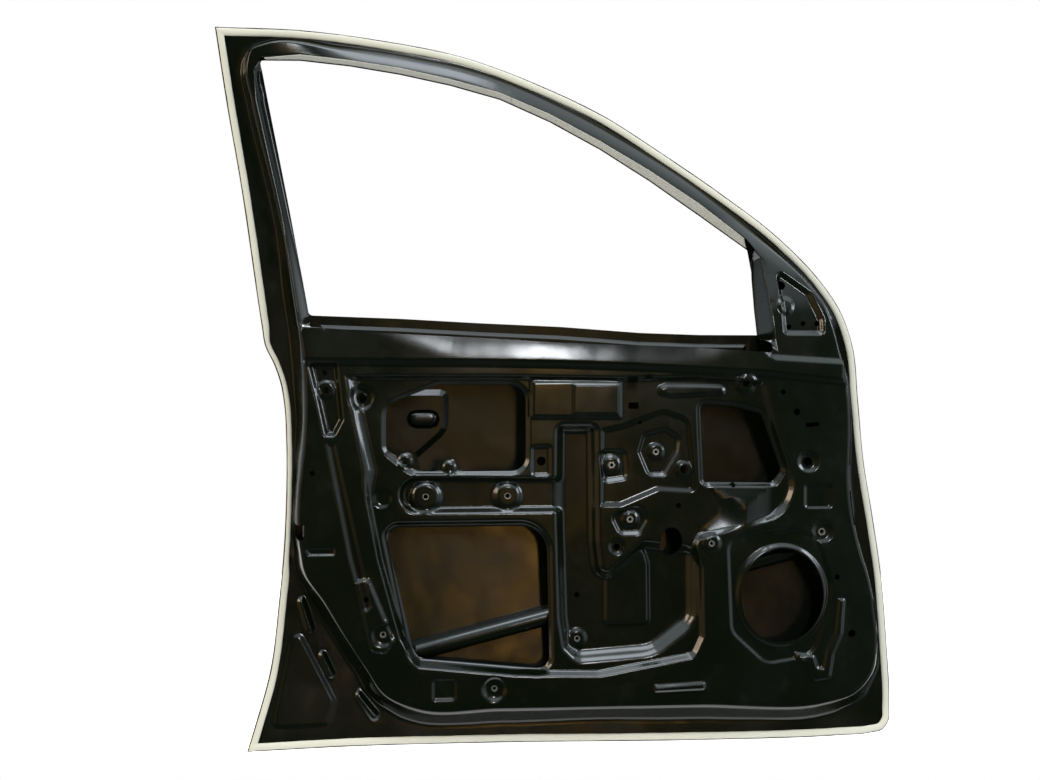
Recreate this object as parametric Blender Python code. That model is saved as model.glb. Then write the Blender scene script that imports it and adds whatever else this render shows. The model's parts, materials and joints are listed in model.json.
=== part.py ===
"""Bare front door shell for the left side of a passenger car, as pressed and painted sheet metal.

Plan sizes are written in millimetres in the plane of the door: x towards the front of the car, z up.
Depth is measured along y, and smaller values lie nearer the cabin. The finished parts are in metres,
with the middle of the upper hinge face on the front wall as their common origin.
"""
import functools
import math

import bmesh
import bpy
import numpy as np
from mathutils import Vector
from mathutils.geometry import delaunay_2d_cdt

# Sheets and clearances
SKIN_SHEET = 0.8
PANEL_SHEET = 1.0
REINFORCEMENT_SHEET = 1.6
HINGE_SHEET = 2.2
GAP = 0.3
MILLIMETRE = 0.001

# Curvature of the outer skin
CROWN = 0.24e-3
BOW = 0.06e-3
BOW_CENTRE = -480.0

# Depths of the pressed levels
RAIL_LEVEL = -90.0
FRAME_RISE = 26.0
FRAME_TOP = 340.0
FRAME_FADE = 180.0
INNER_FLANGE_RISE = 6.0
FRAME_RETURN = 3.5

# Hem and its sealer
HEM_WIDTH = 8.0
HEM_FOLD = 1.4
EDGE_GAP = 1.0
SEALER_START = 2.0
SEALER_OVERLAP = 4.0
SEALER_HEIGHT = 1.8
SEALER_GAP = 0.45
SEALER_LEAN = 1.5
SEALER_SHOULDER = 0.8
NARROW_HEM = 0.35
NARROW_TOP = 150.0
NARROW_BOTTOM = -210.0
NARROW_EDGE = -850.0

# Outline of the skin, clockwise from the rear upper corner; a third value of 0 marks a sharp corner
OUTLINE = [
    (-986, 597, 0), (-863, 598), (-746, 589), (-625, 571), (-501, 533), (-406, 494), (-308, 439),
    (-209, 378), (-107, 306), (-39, 241), (-4, 193), (18, 137), (29, 48), (38, -51), (52, -148),
    (61, -229), (64, -339), (61, -440), (58, -461), (47, -475), (26, -480), (-22, -483), (-247, -486),
    (-562, -481), (-791, -478), (-944, -479, 0), (-933, -441), (-914, -370), (-901, -259), (-896, -199),
    (-892, -107), (-892, -14), (-895, 41), (-901, 76), (-910, 103), (-924, 134), (-928, 160),
    (-934, 203), (-957, 382), (-974, 497),
]

# Upper edge of the wall round the raised face; the third value is how far the wall runs out in plan
RAISED_EDGE = [
    (-914, 571, 7), (-804, 571, 8), (-716, 563, 8), (-596, 540, 10), (-472, 496, 10), (-345, 435, 9),
    (-214, 354, 9), (-103, 265, 9), (-51, 197, 10), (-29, 127, 14), (-14, 60, 24), (-12, 40, 24),
    (-12, -45, 24), (-13, -70, 24), (-11, -105, 24), (4, -186, 18), (18, -230, 16), (29, -290, 13),
    (32, -340, 13), (24, -380, 18), (-6, -412, 24), (-47, -424, 28), (-255, -424, 28), (-565, -421, 28),
    (-690, -418, 26), (-738, -396, 22), (-768, -354, 20), (-805, -296, 20), (-831, -252, 20),
    (-855, -215, 18), (-859, -170, 17), (-857, -80, 17), (-857, 0, 18), (-859, 100, 20),
    (-868, 168, 18), (-902, 350, 9), (-933, 492, 9), (-940, 543, 8), (-932, 563, 6),
]

# Window openings of the inner panel and of the skin
CREST_INNER = [
    (-926, 493, 0), (-928, 536, 6), (-916, 552.7, 0), (-862, 559, 0), (-716, 546, 0), (-641, 533, 0),
    (-565, 516, 0), (-487, 487, 0), (-409, 450, 0), (-328, 407, 0), (-247, 358, 0), (-171, 304, 6),
    (-149, 272, 10), (-136, 140, 0), (-860, 160, 0), (-897, 350, 0),
]
PANEL_WINDOW = [
    (-913, 499, 0), (-922, 552, 6), (-862, 559, 0), (-716, 546, 0), (-641, 533, 0), (-565, 516, 0),
    (-487, 487, 0), (-409, 450, 0), (-328, 407, 0), (-247, 358, 0), (-171, 304, 3), (-158, 286, 0),
    (-138, 122, 6), (-255, 129, 0), (-349, 132, 0), (-473, 136, 0), (-595, 143, 0), (-716, 148, 0),
    (-852, 158, 8), (-884, 340, 0),
]
SKIN_WINDOW = [
    (-914, 499, 0), (-923, 554, 4), (-864, 556, 0), (-790, 551, 0), (-716, 542, 0), (-640, 529, 0),
    (-563, 511, 0), (-484, 480, 0), (-404, 441, 0), (-322, 394, 0), (-239, 341, 0), (-160, 289, 4),
    (-143, 216, 0), (-131, 153, 8), (-233, 153, 0), (-331, 156, 0), (-461, 165, 0), (-590, 170, 0),
    (-716, 176, 0), (-857, 180, 8), (-885, 340, 0),
]

# Pressed forms of the inner panel, in the order of pressing: corners with radii, change or level, run
FORMS = {
    "waist_roll": ([(-880, 105, 6), (-595, 104, 0), (-470, 102, 0), (-349, 98, 0), (-159, 89, 0),
                    (-72, 80, 8), (-72, 112, 8), (-166, 120, 0), (-255, 125, 0), (-349, 128, 0),
                    (-473, 132, 0), (-595, 139, 0), (-716, 144, 0), (-880, 152, 8)], "by", -4.0, 8.0),
    "waist_crown": ([(-868, 113, 6), (-470, 111, 0), (-349, 107, 0), (-84, 90, 6), (-84, 103, 6),
                     (-255, 116, 0), (-473, 123, 0), (-716, 134, 0), (-868, 142, 6)], "by", -2.5, 8.0),
    "field": ([(-798, 86, 4), (-568, 87, 0), (-376, 84, 0), (-255, 86, 0), (-151, 77, 8), (-131, 2, 0),
               (-100, -86, 20), (-122, -134, 24), (-191, -152, 0), (-262, -168, 14), (-249, -210, 10),
               (-247, -318, 16), (-262, -350, 20), (-411, -375, 30), (-540, -371, 0), (-690, -354, 12),
               (-716, -312, 10), (-749, -191, 0), (-772, -71, 0), (-787, 19, 0)], "to", -80.0, 6.0),
    "waist_pad": ([(-518, 80, 5), (-375, 81, 5), (-375, 19, 5), (-518, 20, 5)], "by", -4.0, 5.0),
    "square_pad": ([(-453, 74, 3), (-380, 74, 3), (-380, 26, 3), (-453, 26, 3)], "by", -2.5, 3.0),
    "latch_pocket": ([(-854, 104, 6), (-808, 104, 6), (-799, 19, 8), (-812, -6, 6), (-828, -6, 6),
                      (-840, 49, 8)], "by", 9.0, 7.0),
    "column_groove": ([(-826, -14, 4), (-812, -14, 4), (-776, -175, 6), (-756, -262, 6), (-770, -272, 6),
                       (-792, -190, 6)], "by", 4.0, 5.0),
    "upper_rim": ([(-745, 46, 34), (-658, 80, 26), (-516, 80, 32), (-516, -68, 30), (-700, -68, 34),
                   (-745, -30, 24)], "by", 9.0, 8.0),
    "lower_rim": ([(-748, -134, 24), (-484, -134, 50), (-480, -376, 26), (-702, -352, 26)],
                  "by", 10.0, 9.0),
    "bridge_band": ([(-718, -66, 28), (-458, -70, 6), (-458, -124, 6), (-718, -124, 28)], "by", 11.0, 8.0),
    "corner_pocket": ([(-517, -20, 8), (-484, -20, 6), (-484, -70, 6), (-517, -70, 8)], "by", 5.0, 5.0),
    "basin": ([(-478, 13, 14), (-412, 13, 14), (-410, -170, 12), (-404, -222, 8), (-340, -168, 10),
               (-257, -178, 20), (-256, -298, 44), (-323, -348, 60), (-446, -356, 24), (-467, -334, 16),
               (-474, -288, 0), (-479, -120, 0)], "to", -63.0, 14.0),
    "basin_square": ([(-401, -224, 6), (-338, -178, 8), (-329, -206, 8), (-328, -304, 12),
                      (-401, -304, 12)], "by", -5.0, 5.0),
    "mid_plateau_step": ([(-408, 4, 6), (-376, 10, 8), (-310, 34, 16), (-268, 20, 20), (-258, -96, 10),
                          (-318, -92, 12), (-376, -116, 12), (-410, -116, 6)], "by", 4.0, 6.0),
    "triangle_pocket": ([(-350, -32, 12), (-341, -3, 12), (-305, 6, 12), (-281, -10, 12), (-284, -34, 10),
                         (-306, -70, 12), (-334, -70, 12)], "by", 6.0, 5.0),
    "boss_pocket": ([(-414, -28, 10), (-368, -28, 10), (-364, -74, 10), (-405, -80, 10)], "by", 6.0, 5.0),
    "low_pocket": ([(-394, -132, 10), (-376, -120, 8), (-344, -113, 12), (-333, -138, 10),
                    (-346, -160, 12), (-380, -160, 12)], "by", 6.0, 5.0),
    "front_rim": ([(-262, 50, 18), (-196, 46, 16), (-146, 34, 14), (-112, -62, 16), (-130, -90, 16),
                   (-252, -88, 12)], "by", 7.0, 7.0),
    "swoosh": ([(-257, -170, 6), (-250, -148, 12), (-212, -120, 20), (-188, -98, 12), (-184, -66, 8),
                (-141, -66, 8), (-141, -112, 20), (-152, -140, 10), (-190, -151, 0), (-218, -160, 0)],
               "to", -71.0, 18.0),
    "window_ramp": ([(-336, 62, 8), (-306, 74, 8), (-200, 72, 10), (-214, 56, 8), (-300, 52, 8)],
                    "by", -4.0, 5.0),
    "speaker_face": ([(-212, -164, 26), (-127, -150, 30), (-66, -160, 30), (-40, -240, 40),
                      (-70, -352, 40), (-150, -364, 30), (-206, -312, 30)], "by", 3.0, 4.0),
    "speaker_collar": ("ellipse", (-124, -256, 74, 81), "by", -5.0, 5.0),
    "hinge_pad": ([(-88, -82, 8), (-42, -82, 8), (-42, -122, 8), (-88, -122, 8)], "by", 3.0, 4.0),
    "front_gusset": ([(-34, -262, 4), (-22, -262, 4), (-26, -318, 6), (-40, -350, 8), (-46, -388, 8),
                      (-76, -392, 8), (-82, -360, 6), (-104, -356, 5), (-104, -344, 5), (-72, -350, 6),
                      (-62, -380, 4), (-54, -342, 8), (-40, -316, 6)], "by", -4.0, 4.0),
    "sail_pocket": ([(-127, 258, 8), (-74, 218, 10), (-56, 176, 8), (-56, 150, 8), (-121, 150, 8)],
                    "by", 8.0, 6.0),
    "side_capsule": ([(-784, -222, 10), (-762, -216, 10), (-722, -312, 10), (-736, -334, 10),
                      (-760, -330, 10)], "by", -5.0, 5.0),
    "lock_step": ([(-856, -172, 3), (-812, -172, 3), (-812, -184, 3), (-852, -184, 3)], "by", 3.0, 3.0),
    "corner_bead_a": ([(-878, -252, 8), (-862, -256, 8), (-845, -306, 8), (-858, -318, 8)],
                      "by", -5.0, 5.0),
    "corner_bead_b": ([(-845, -338, 8), (-831, -336, 8), (-812, -374, 8), (-824, -384, 8)],
                      "by", -5.0, 5.0),
    "corner_bead_c": ([(-792, -398, 9), (-778, -396, 9), (-744, -436, 9), (-756, -448, 9)],
                      "by", -5.0, 5.0),
    "corner_plate": ([(-886, -325, 10), (-872, -300, 10), (-812, -412, 12), (-824, -448, 10),
                      (-910, -448, 12)], "by", -2.5, 5.0),
    "lower_slot": ([(-328, -390, 5), (-246, -386, 5), (-246, -400, 5), (-328, -402, 5)], "by", -4.0, 4.0),
    "lower_clip_pad": ([(-668, -372, 6), (-630, -372, 6), (-630, -406, 6), (-668, -406, 6)],
                       "by", 3.0, 4.0),
}

# Round bosses: centre, radius of the foot, change of depth, run
BOSSES = {
    "bridge_rear": (-677, -98, 26, -8.0, 9.0),
    "bridge_front": (-552, -98, 24, -8.0, 9.0),
    "side_lower": (-741, -303, 19, 4.0, 6.0),
    "side_upper": (-773, 52, 20, 4.0, 7.0),
    "latch_top": (-826, 64, 15, -3.0, 4.0),
    "basin_foot": (-443, -321, 16, -4.0, 5.0),
    "mid_boss": (-390, -52, 16, -5.0, 5.0),
    "low_boss": (-362, -136, 15, -5.0, 5.0),
    "triangle_boss": (-320, -32, 14, -3.0, 4.0),
    "side_boss": (-277, -60, 14, -3.0, 4.0),
    "waist_front": (-180, 74, 17, -4.0, 5.0),
    "front_upper": (-81, -48, 17, 4.0, 5.0),
    "front_lower": (-58, -158, 17, 4.0, 5.0),
    "speaker_boss": (-237, -173, 16, -4.0, 5.0),
    "foot_boss": (-573, -390, 20, 5.0, 7.0),
    "rim_tab_rear": (-708, -44, 12, -4.0, 4.0),
    "sail_dome": (-115, 196, 15, -4.0, 5.0),
    "column_boss": (-742, -100, 15, 3.0, 5.0),
    "plateau_boss": (-383, -178, 13, 3.0, 4.0),
}

# Service openings that go right through the inner panel
OPENINGS = {
    "upper_service": [(-737, 42, 26), (-658, 72, 20), (-524, 72, 26), (-524, -60, 22), (-622, -60, 5),
                      (-627, -42, 9), (-655, -42, 9), (-660, -60, 5), (-684, -60, 8), (-692, -31, 8),
                      (-722, -31, 10), (-737, -17, 10)],
    "lower_service": [(-740, -145, 20), (-491, -145, 42), (-487, -366, 18), (-692, -344, 22)],
    "front_service": [(-250, 43, 8), (-196, 38, 12), (-153, 27, 10), (-121, -62, 10), (-135, -81, 12),
                      (-245, -79, 6)],
    "latch_opening": [(-877, -160, 2), (-863, -160, 2), (-863, -138, 2), (-877, -138, 2)],
    "waist_slot_rear": [(-367, 85, 1), (-351, 85, 1), (-351, 76, 1), (-367, 76, 1)],
    "waist_slot_front": [(-340, 87, 1), (-329, 87, 1), (-329, 80, 1), (-340, 80, 1)],
    "waist_slot_lower": [(-365, 45, 1), (-349, 45, 1), (-349, 35, 1), (-365, 35, 1)],
    "hinge_slot": [(-86, 12, 2), (-64, 14, 2), (-64, 8, 2), (-86, 6, 2)],
}

# Ellipses through the inner panel: centre and half widths
SPEAKER = (-124, -256, 66, 73)
FRONT_OVAL = (-297, -172, 17, 23)

# Round holes through the inner panel: centre and radius
HOLES = {
    "bridge_rear": (-677, -98, 5), "bridge_front": (-552, -98, 5), "side_lower": (-741, -303, 5),
    "side_upper": (-773, 52, 8), "latch_top": (-826, 64, 5), "latch_mid": (-828, 90, 4),
    "basin_foot": (-443, -321, 5), "mid_boss": (-390, -52, 6), "low_boss": (-362, -136, 6),
    "triangle_boss": (-320, -32, 5), "side_boss": (-277, -60, 6), "waist_front": (-180, 74, 5),
    "front_upper": (-81, -48, 7), "front_lower": (-58, -158, 6), "speaker_boss": (-237, -173, 5),
    "foot_boss": (-573, -390, 5), "rim_tab_rear": (-708, -44, 5), "rim_tab_front": (-641, -54, 4),
    "corner_pocket": (-500, -45, 7),
    "basin_small": (-443, -254, 4), "plateau_small": (-286, -115, 4), "swoosh_hole": (-199, -84, 4),
    "upper_hinge_front": (-122, 61, 4), "upper_hinge_rear": (-100, 30, 5), "lower_front": (-11, -318, 6),
    "front_mid": (-35, -229, 4), "sail_upper": (-118, 229, 7), "sail_rear": (-110, 163, 4),
    "sail_mid": (-87, 168, 4), "sail_front": (-65, 168, 4), "column_low": (-766, -250, 4),
    "plateau_low": (-383, -178, 5), "waist_dot": (-346, 14, 3), "side_mark": (-846, -60, 4),
}

# Bolt holes in the front wall: height of each hinge and spacing of its bolts. The wall is so steep that
# a round hole in it is only a third as wide in plan. Marks forward of WALL_REAR belong to that wall.
UPPER_HINGE_Z = 0.0
LOWER_HINGE_Z = -310.0
HINGE_BOLT_SPACING = 44.0
HINGE_BOLT_RADIUS = 5.0
STEEP_SHARE = 1 / 3
WALL_REAR = -60.0

# Glass run strips: joint between the two pieces and their section
STRIP_JOINT = -545.0
STRIP_SHEET = 1.2
STRIP_DEPTH = 24.5
STRIP_LAP = 1.5
STRIP_CLEARANCE = 0.5
STRIP_END = 1.0
STRIP_PANEL_POINTS = [(-915, 552.5), (-862, 559), (-790, 554), (-716, 546), (-641, 533), (-565, 516),
                      (-487, 487), (-409, 450), (-328, 407), (-247, 358), (-172, 305)]
STRIP_SKIN_POINTS = [(-915, 554), (-864, 556), (-790, 551), (-716, 542), (-640, 529), (-563, 511),
                     (-484, 480), (-404, 441), (-322, 394), (-239, 341), (-162, 290)]

# Reinforcements behind the inner panel and the skin
UPPER_HINGE_PLATE = [(-42, 54, 6), (6, 54, 3), (6, -54, 3), (-42, -54, 6)]
LOWER_HINGE_PLATE = [(-16, -262, 6), (35, -262, 3), (41, -352, 3), (-16, -352, 6)]
CHECK_PLATE = [(-34, -94, 6), (4, -94, 3), (9, -148, 3), (-34, -148, 6)]
CHECK_SLOT = [(-5, -110, 1), (1, -110, 1), (2, -130, 1), (-4, -130, 1)]
LATCH_PLATE = [(-873, -104, 3), (-838, -104, 6), (-838, -190, 6), (-873, -190, 3)]
MIRROR_PLATE = [(-123, 252, 6), (-76, 216, 6), (-60, 176, 6), (-60, 152, 6), (-118, 152, 6)]
BELT_INNER_TOP = [(-842, 152), (-716, 144), (-595, 139), (-473, 132), (-349, 128), (-255, 125), (-166, 120)]
BELT_OUTER_TOP = [(-848, 174), (-716, 170), (-590, 164), (-461, 159), (-331, 150), (-233, 147), (-150, 147)]
BELT_INNER_HEIGHT = 36.0
BELT_OUTER_HEIGHT = 44.0
BELT_HAT_EDGE = 9.0
BELT_HAT_RUN = 6.0
BELT_HAT_RISE = 7.0

# Impact beam
BEAM_REAR = (-722.0, -346.0)
BEAM_FRONT = (-40.0, -182.0)
BEAM_RADIUS = 14.0
BEAM_WALL = 2.0
BEAM_CLEARANCE = 5.0
BRACKET_HEIGHT = 42.0
BRACKET_SHEET = 2.0
BRACKET_FLANGE = 15.0
BRACKET_SETBACK = 4.0
BRACKET_LAP = 30.0

# Outer handle
HANDLE_SLOT = [(-706, 33, 15), (-653, 33, 15), (-653, 3, 15), (-706, 3, 15)]
HANDLE_CUP_DEPTH = 9.0
HANDLE_CUP_LEDGE = 2.5
HANDLE_CUP_RUN = 4.5
HANDLE_PLATE = [(-778, 64, 10), (-640, 64, 12), (-640, 0, 30), (-690, -44, 12), (-778, -44, 12)]
HANDLE_PLATE_RISE = 5.0
HANDLE_PLATE_RUN = 9.0

# Fasteners: boss name to width across flats
WELD_NUTS = {
    "bridge_rear": 13.0, "bridge_front": 13.0, "side_lower": 10.0, "basin_foot": 10.0, "mid_boss": 10.0,
    "front_lower": 13.0, "foot_boss": 10.0, "speaker_boss": 10.0, "triangle_boss": 10.0,
    "low_boss": 10.0,
}
NUT_BORE = 0.55
NUT_HEIGHT = 0.5

# How finely curves and faces are divided
CURVE_SAG = 0.8
LONGEST_SIDE = 52.0
ARC_TURN = 46.0
HOLE_SIDES = 8
GRID_X = 70.0
GRID_Z = 42.0
GRID_MARGIN = 12.0
CURVED_RISE = 40.0
CURVED_RUN = 80.0
BOSS_SIDES = 10
BEAM_SIDES = 16
SPEAKER_SIDES = 24
WELD = 0.02
CLOSEST = 0.3
LONGEST_MITRE = 2.2
SAME_PLANE = 0.02
SHARPEST = 0.35
SPLINE_STEPS = 24
OVAL_SIDES = 16
NUT_SIDES = 12


def clear_scene():
    """Remove every object, mesh and material of an earlier run."""
    for thing in list(bpy.data.objects):
        bpy.data.objects.remove(thing, do_unlink=True)
    for mesh in list(bpy.data.meshes):
        bpy.data.meshes.remove(mesh)
    for material in list(bpy.data.materials):
        bpy.data.materials.remove(material)


def paint(name, colour, roughness, metallic):
    """Return a plain material."""
    material = bpy.data.materials.new(name)
    material.use_nodes = True
    shader = material.node_tree.nodes["Principled BSDF"]
    shader.inputs["Base Color"].default_value = (*colour, 1.0)
    shader.inputs["Roughness"].default_value = roughness
    shader.inputs["Metallic"].default_value = metallic
    return material


def rounded(corners, turn=ARC_TURN):
    """Return the points of a closed outline whose corners are rounded by their own radii."""
    points = []
    for index, (x, z, radius) in enumerate(corners):
        here = np.array((x, z), float)
        if radius == 0:
            points.append(here)
            continue
        before = np.array(corners[index - 1][:2], float) - here
        after = np.array(corners[(index + 1) % len(corners)][:2], float) - here
        before /= np.linalg.norm(before)
        after /= np.linalg.norm(after)
        half = math.acos(float(np.clip(before @ after, -1, 1))) / 2
        middle = here + (before + after) / np.linalg.norm(before + after) * radius / math.sin(half)
        start = here + before * radius / math.tan(half) - middle
        end = here + after * radius / math.tan(half) - middle
        sweep = math.pi - 2 * half
        if start[0] * end[1] - start[1] * end[0] < 0:
            sweep = -sweep
        steps = max(1, math.ceil(abs(sweep) / math.radians(turn)))
        for step in range(steps + 1):
            angle = sweep * step / steps
            turned = (start[0] * math.cos(angle) - start[1] * math.sin(angle),
                      start[0] * math.sin(angle) + start[1] * math.cos(angle))
            points.append(middle + turned)
    return distinct(np.array(points))


def distinct(loop):
    """Drop the points of a closed loop that repeat the one before them."""
    apart = np.linalg.norm(loop - np.roll(loop, 1, axis=0), axis=1)
    return loop[apart > CLOSEST]


def divided(loop):
    """Split the long sides of a loop that lies on the curved skin."""
    points = []
    for here, after in zip(loop, np.roll(loop, -1, axis=0)):
        span = np.abs(after - here)
        pieces = max(1, math.ceil(span[1] / CURVED_RISE), math.ceil(span[0] / CURVED_RUN))
        points.extend(here + (after - here) * piece / pieces for piece in range(pieces))
    return np.array(points)


def ellipse(centre_x, centre_z, half_x, half_z, sides):
    """Return the points of an ellipse."""
    angles = np.arange(sides) * 2 * math.pi / sides
    return np.column_stack((centre_x + half_x * np.cos(angles), centre_z + half_z * np.sin(angles)))


def spline(points):
    """Return a smooth closed curve through the points; a third value of 0 marks a sharp corner."""
    values = np.array([point[:2] for point in points], float)
    sharp = [len(point) > 2 and point[2] == 0 for point in points]
    count = len(points)
    result = []
    for index in range(count):
        start = values[index]
        end = values[(index + 1) % count]
        before = start - (end - start) if sharp[index] else values[index - 1]
        after = end + (end - start) if sharp[(index + 1) % count] else values[(index + 2) % count]
        length = np.linalg.norm(end - start)
        leave = hermite_tangent(before, start, end) * length
        arrive = hermite_tangent(start, end, after) * length
        for step in range(SPLINE_STEPS):
            t = step / SPLINE_STEPS
            result.append((2 * t ** 3 - 3 * t ** 2 + 1) * start + (t ** 3 - 2 * t ** 2 + t) * leave
                          + (3 * t ** 2 - 2 * t ** 3) * end + (t ** 3 - t ** 2) * arrive)
    return np.array(result)


def hermite_tangent(before, here, after):
    """Return the direction of a smooth curve at a point between two neighbours."""
    first = np.linalg.norm(here - before)
    second = np.linalg.norm(after - here)
    slope = (here - before) / first * second + (after - here) / second * first
    return slope / (first + second)


def thin_out(curve, keep):
    """Keep only the points of a closed curve that hold its shape to the sag allowed."""
    chosen = [0]
    for index in range(1, len(curve)):
        start = curve[chosen[-1]]
        ahead = curve[(index + 1) % len(curve)]
        span = ahead - start
        length = np.linalg.norm(span)
        between = curve[chosen[-1]:index + 1] - start
        sag = np.abs(between[:, 0] * span[1] - between[:, 1] * span[0]).max() / max(length, 1e-6)
        if sag > CURVE_SAG or length > LONGEST_SIDE or index in keep:
            chosen.append(index)
    return distinct(curve[chosen])


def smooth_outline(points):
    """Return a spline outline with few points, keeping its sharp corners, counter-clockwise."""
    corners = {index * SPLINE_STEPS for index, point in enumerate(points) if point[2:] == (0,)}
    return thin_out(spline(points), corners)[::-1]


def inset(loop, distance):
    """Move each side of a counter-clockwise outline inwards by its own distance."""
    before = loop - np.roll(loop, 1, axis=0)
    after = np.roll(loop, -1, axis=0) - loop
    before /= np.linalg.norm(before, axis=1)[:, None]
    after /= np.linalg.norm(after, axis=1)[:, None]
    bisector = np.column_stack((-(before + after)[:, 1], (before + after)[:, 0]))
    bisector /= np.linalg.norm(bisector, axis=1)[:, None]
    normal = np.column_stack((-after[:, 1], after[:, 0]))
    stretch = 1 / np.clip((bisector * normal).sum(axis=1), SHARPEST, 1)
    return loop + bisector * (stretch * distance)[:, None]


def signed_distance(points, loop):
    """Return how far each point lies inside a closed loop; points outside are negative."""
    start = loop
    side = np.roll(loop, -1, axis=0) - start
    nearest = np.full(len(points), 1e9)
    inside = np.zeros(len(points), bool)
    for corner, edge in zip(start, side):
        offset = points - corner
        along = np.clip((offset @ edge) / max(edge @ edge, 1e-9), 0, 1)
        nearest = np.minimum(nearest, np.linalg.norm(offset - along[:, None] * edge, axis=1))
        crosses = (corner[1] > points[:, 1]) != (corner[1] + edge[1] > points[:, 1])
        safe = edge[1] if abs(edge[1]) > 1e-9 else 1e-9
        reach = corner[0] + (points[:, 1] - corner[1]) / safe * edge[0]
        inside ^= crosses & (points[:, 0] < reach)
    return np.where(inside, nearest, -nearest)


def skin_depth(points):
    """Depth of the outer surface of the skin."""
    return -CROWN * points[:, 1] ** 2 - BOW * (points[:, 0] - BOW_CENTRE) ** 2


def smooth_step(value):
    """Ease from 0 to 1."""
    value = np.clip(value, 0, 1)
    return value * value * (3 - 2 * value)


def form_outline(entry, on_curve):
    """Return the outline of one pressed form."""
    if entry[0] == "ellipse":
        return ellipse(*entry[1], SPEAKER_SIDES)
    return divided(rounded(entry[0])) if on_curve else rounded(entry[0])


def press(depth, distance, how, amount, run):
    """Apply one pressed form to the depths: a change or a level, reached over its run."""
    weight = np.clip(distance / run, 0, 1)
    if how == "by":
        return depth + weight * amount
    return depth * (1 - weight) + amount * weight


class Panel:
    """Loops and depths of the pressed inner panel."""

    def __init__(self):
        self.edge = thin_out(spline([point[:2] for point in RAISED_EDGE]), set())[::-1]
        self.foot = inset(self.edge, -wall_runs(self.edge))
        self.crest = divided(rounded(CREST_INNER))
        self.forms = [(form_outline(entry, name.startswith("corner")), *entry[-3:])
                      for name, entry in FORMS.items()]

    def base(self, points):
        """Depth of the cabin side before the forms are pressed."""
        skin = skin_depth(points)
        flange = skin - SKIN_SHEET - GAP - PANEL_SHEET
        share = smooth_step((FRAME_TOP - points[:, 1]) / FRAME_FADE)
        raised = (skin - FRAME_RISE) * (1 - share) + RAIL_LEVEL * share
        inside_edge = signed_distance(points, self.edge)
        inside_foot = signed_distance(points, self.foot)
        between = np.clip(inside_foot, 0, None) / np.clip(inside_foot - inside_edge, 1e-6, None)
        weight = np.where(inside_edge > 0, 1.0, np.clip(between, 0, 1))
        return flange * (1 - weight) + raised * weight

    def depth(self, points):
        """Depth of the cabin side of the finished panel."""
        returned = skin_depth(points) - INNER_FLANGE_RISE
        share = np.clip(signed_distance(points, self.crest) / FRAME_RETURN, 0, 1)
        depth = self.base(points) * (1 - share) + returned * share
        for loop, how, amount, run in self.forms:
            depth = press(depth, signed_distance(points, loop), how, amount, run)
        for x, z, radius, amount, run in BOSSES.values():
            distance = radius - np.hypot(points[:, 0] - x, points[:, 1] - z)
            depth = press(depth, distance, "by", amount, run)
        return depth

    def guides(self):
        """Loops that the divided panel has to follow."""
        loops = [self.edge, self.foot, self.crest, offset_loop(self.crest, FRAME_RETURN)]
        for loop, _how, _amount, run in self.forms:
            loops.append(loop)
            loops.append(offset_loop(loop, run))
        for x, z, radius, _amount, run in BOSSES.values():
            loops.append(ellipse(x, z, radius, radius, BOSS_SIDES))
            loops.append(ellipse(x, z, radius - run, radius - run, BOSS_SIDES))
        return loops


def wall_runs(loop):
    """Return how far the wall runs out at each point of the raised edge, blended between the marks."""
    marks = np.array([point[:2] for point in RAISED_EDGE], float)
    runs = np.array([point[2] for point in RAISED_EDGE], float)
    distance = np.linalg.norm(loop[:, None, :] - marks[None, :, :], axis=2)
    weight = 1 / (distance + 1.0) ** 3
    return (weight * runs).sum(axis=1) / weight.sum(axis=1)


def offset_loop(loop, distance):
    """Offset a loop inwards, whichever way round it runs."""
    after = np.roll(loop, -1, axis=0)
    area = (loop[:, 0] * after[:, 1] - loop[:, 1] * after[:, 0]).sum()
    ordered = loop if area > 0 else loop[::-1]
    return inset(ordered, np.full(len(loop), float(distance)))


def grid_spots(border, openings, loops, wanted):
    """Return loose grid points inside an area, away from every loop, where the surface is curved."""
    columns = np.arange(border[:, 0].min() + GRID_X / 2, border[:, 0].max(), GRID_X)
    rows = np.arange(border[:, 1].min() + GRID_Z / 2, border[:, 1].max(), GRID_Z)
    spots = np.array([(x, z) for z in rows for x in columns])
    keep = (signed_distance(spots, border) > GRID_MARGIN) & wanted(spots)
    for loop in openings:
        keep &= signed_distance(spots, loop) < -GRID_MARGIN
    for loop in loops:
        keep &= np.abs(signed_distance(spots, loop)) > GRID_MARGIN
    return spots[keep]


def plan_mesh(border, openings, guides, spots):
    """Divide the area inside the border and outside the openings into triangles along the guides."""
    points = []
    edges = []
    for loop in [border, *openings, *guides]:
        first = len(points)
        points.extend(loop)
        edges.extend((first + index, first + (index + 1) % len(loop)) for index in range(len(loop)))
    points.extend(spots)
    made = delaunay_2d_cdt([Vector((float(x), float(z))) for x, z in points], edges, [], 0, WELD, False)
    places = np.array([tuple(place) for place in made[0]])
    triangles = np.array(made[2])
    centres = places[triangles].mean(axis=1)
    keep = signed_distance(centres, border) > 0
    for loop in openings:
        keep &= signed_distance(centres, loop) < 0
    triangles = triangles[keep]
    used = np.unique(triangles)
    renumber = np.full(len(places), -1)
    renumber[used] = np.arange(len(used))
    return anticlockwise(places[used], renumber[triangles])


def anticlockwise(places, triangles):
    """Turn every triangle the same way round in plan."""
    first = places[triangles[:, 1]] - places[triangles[:, 0]]
    second = places[triangles[:, 2]] - places[triangles[:, 0]]
    area = first[:, 0] * second[:, 1] - first[:, 1] * second[:, 0]
    triangles[area < 0] = triangles[area < 0][:, ::-1]
    return places, triangles


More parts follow.
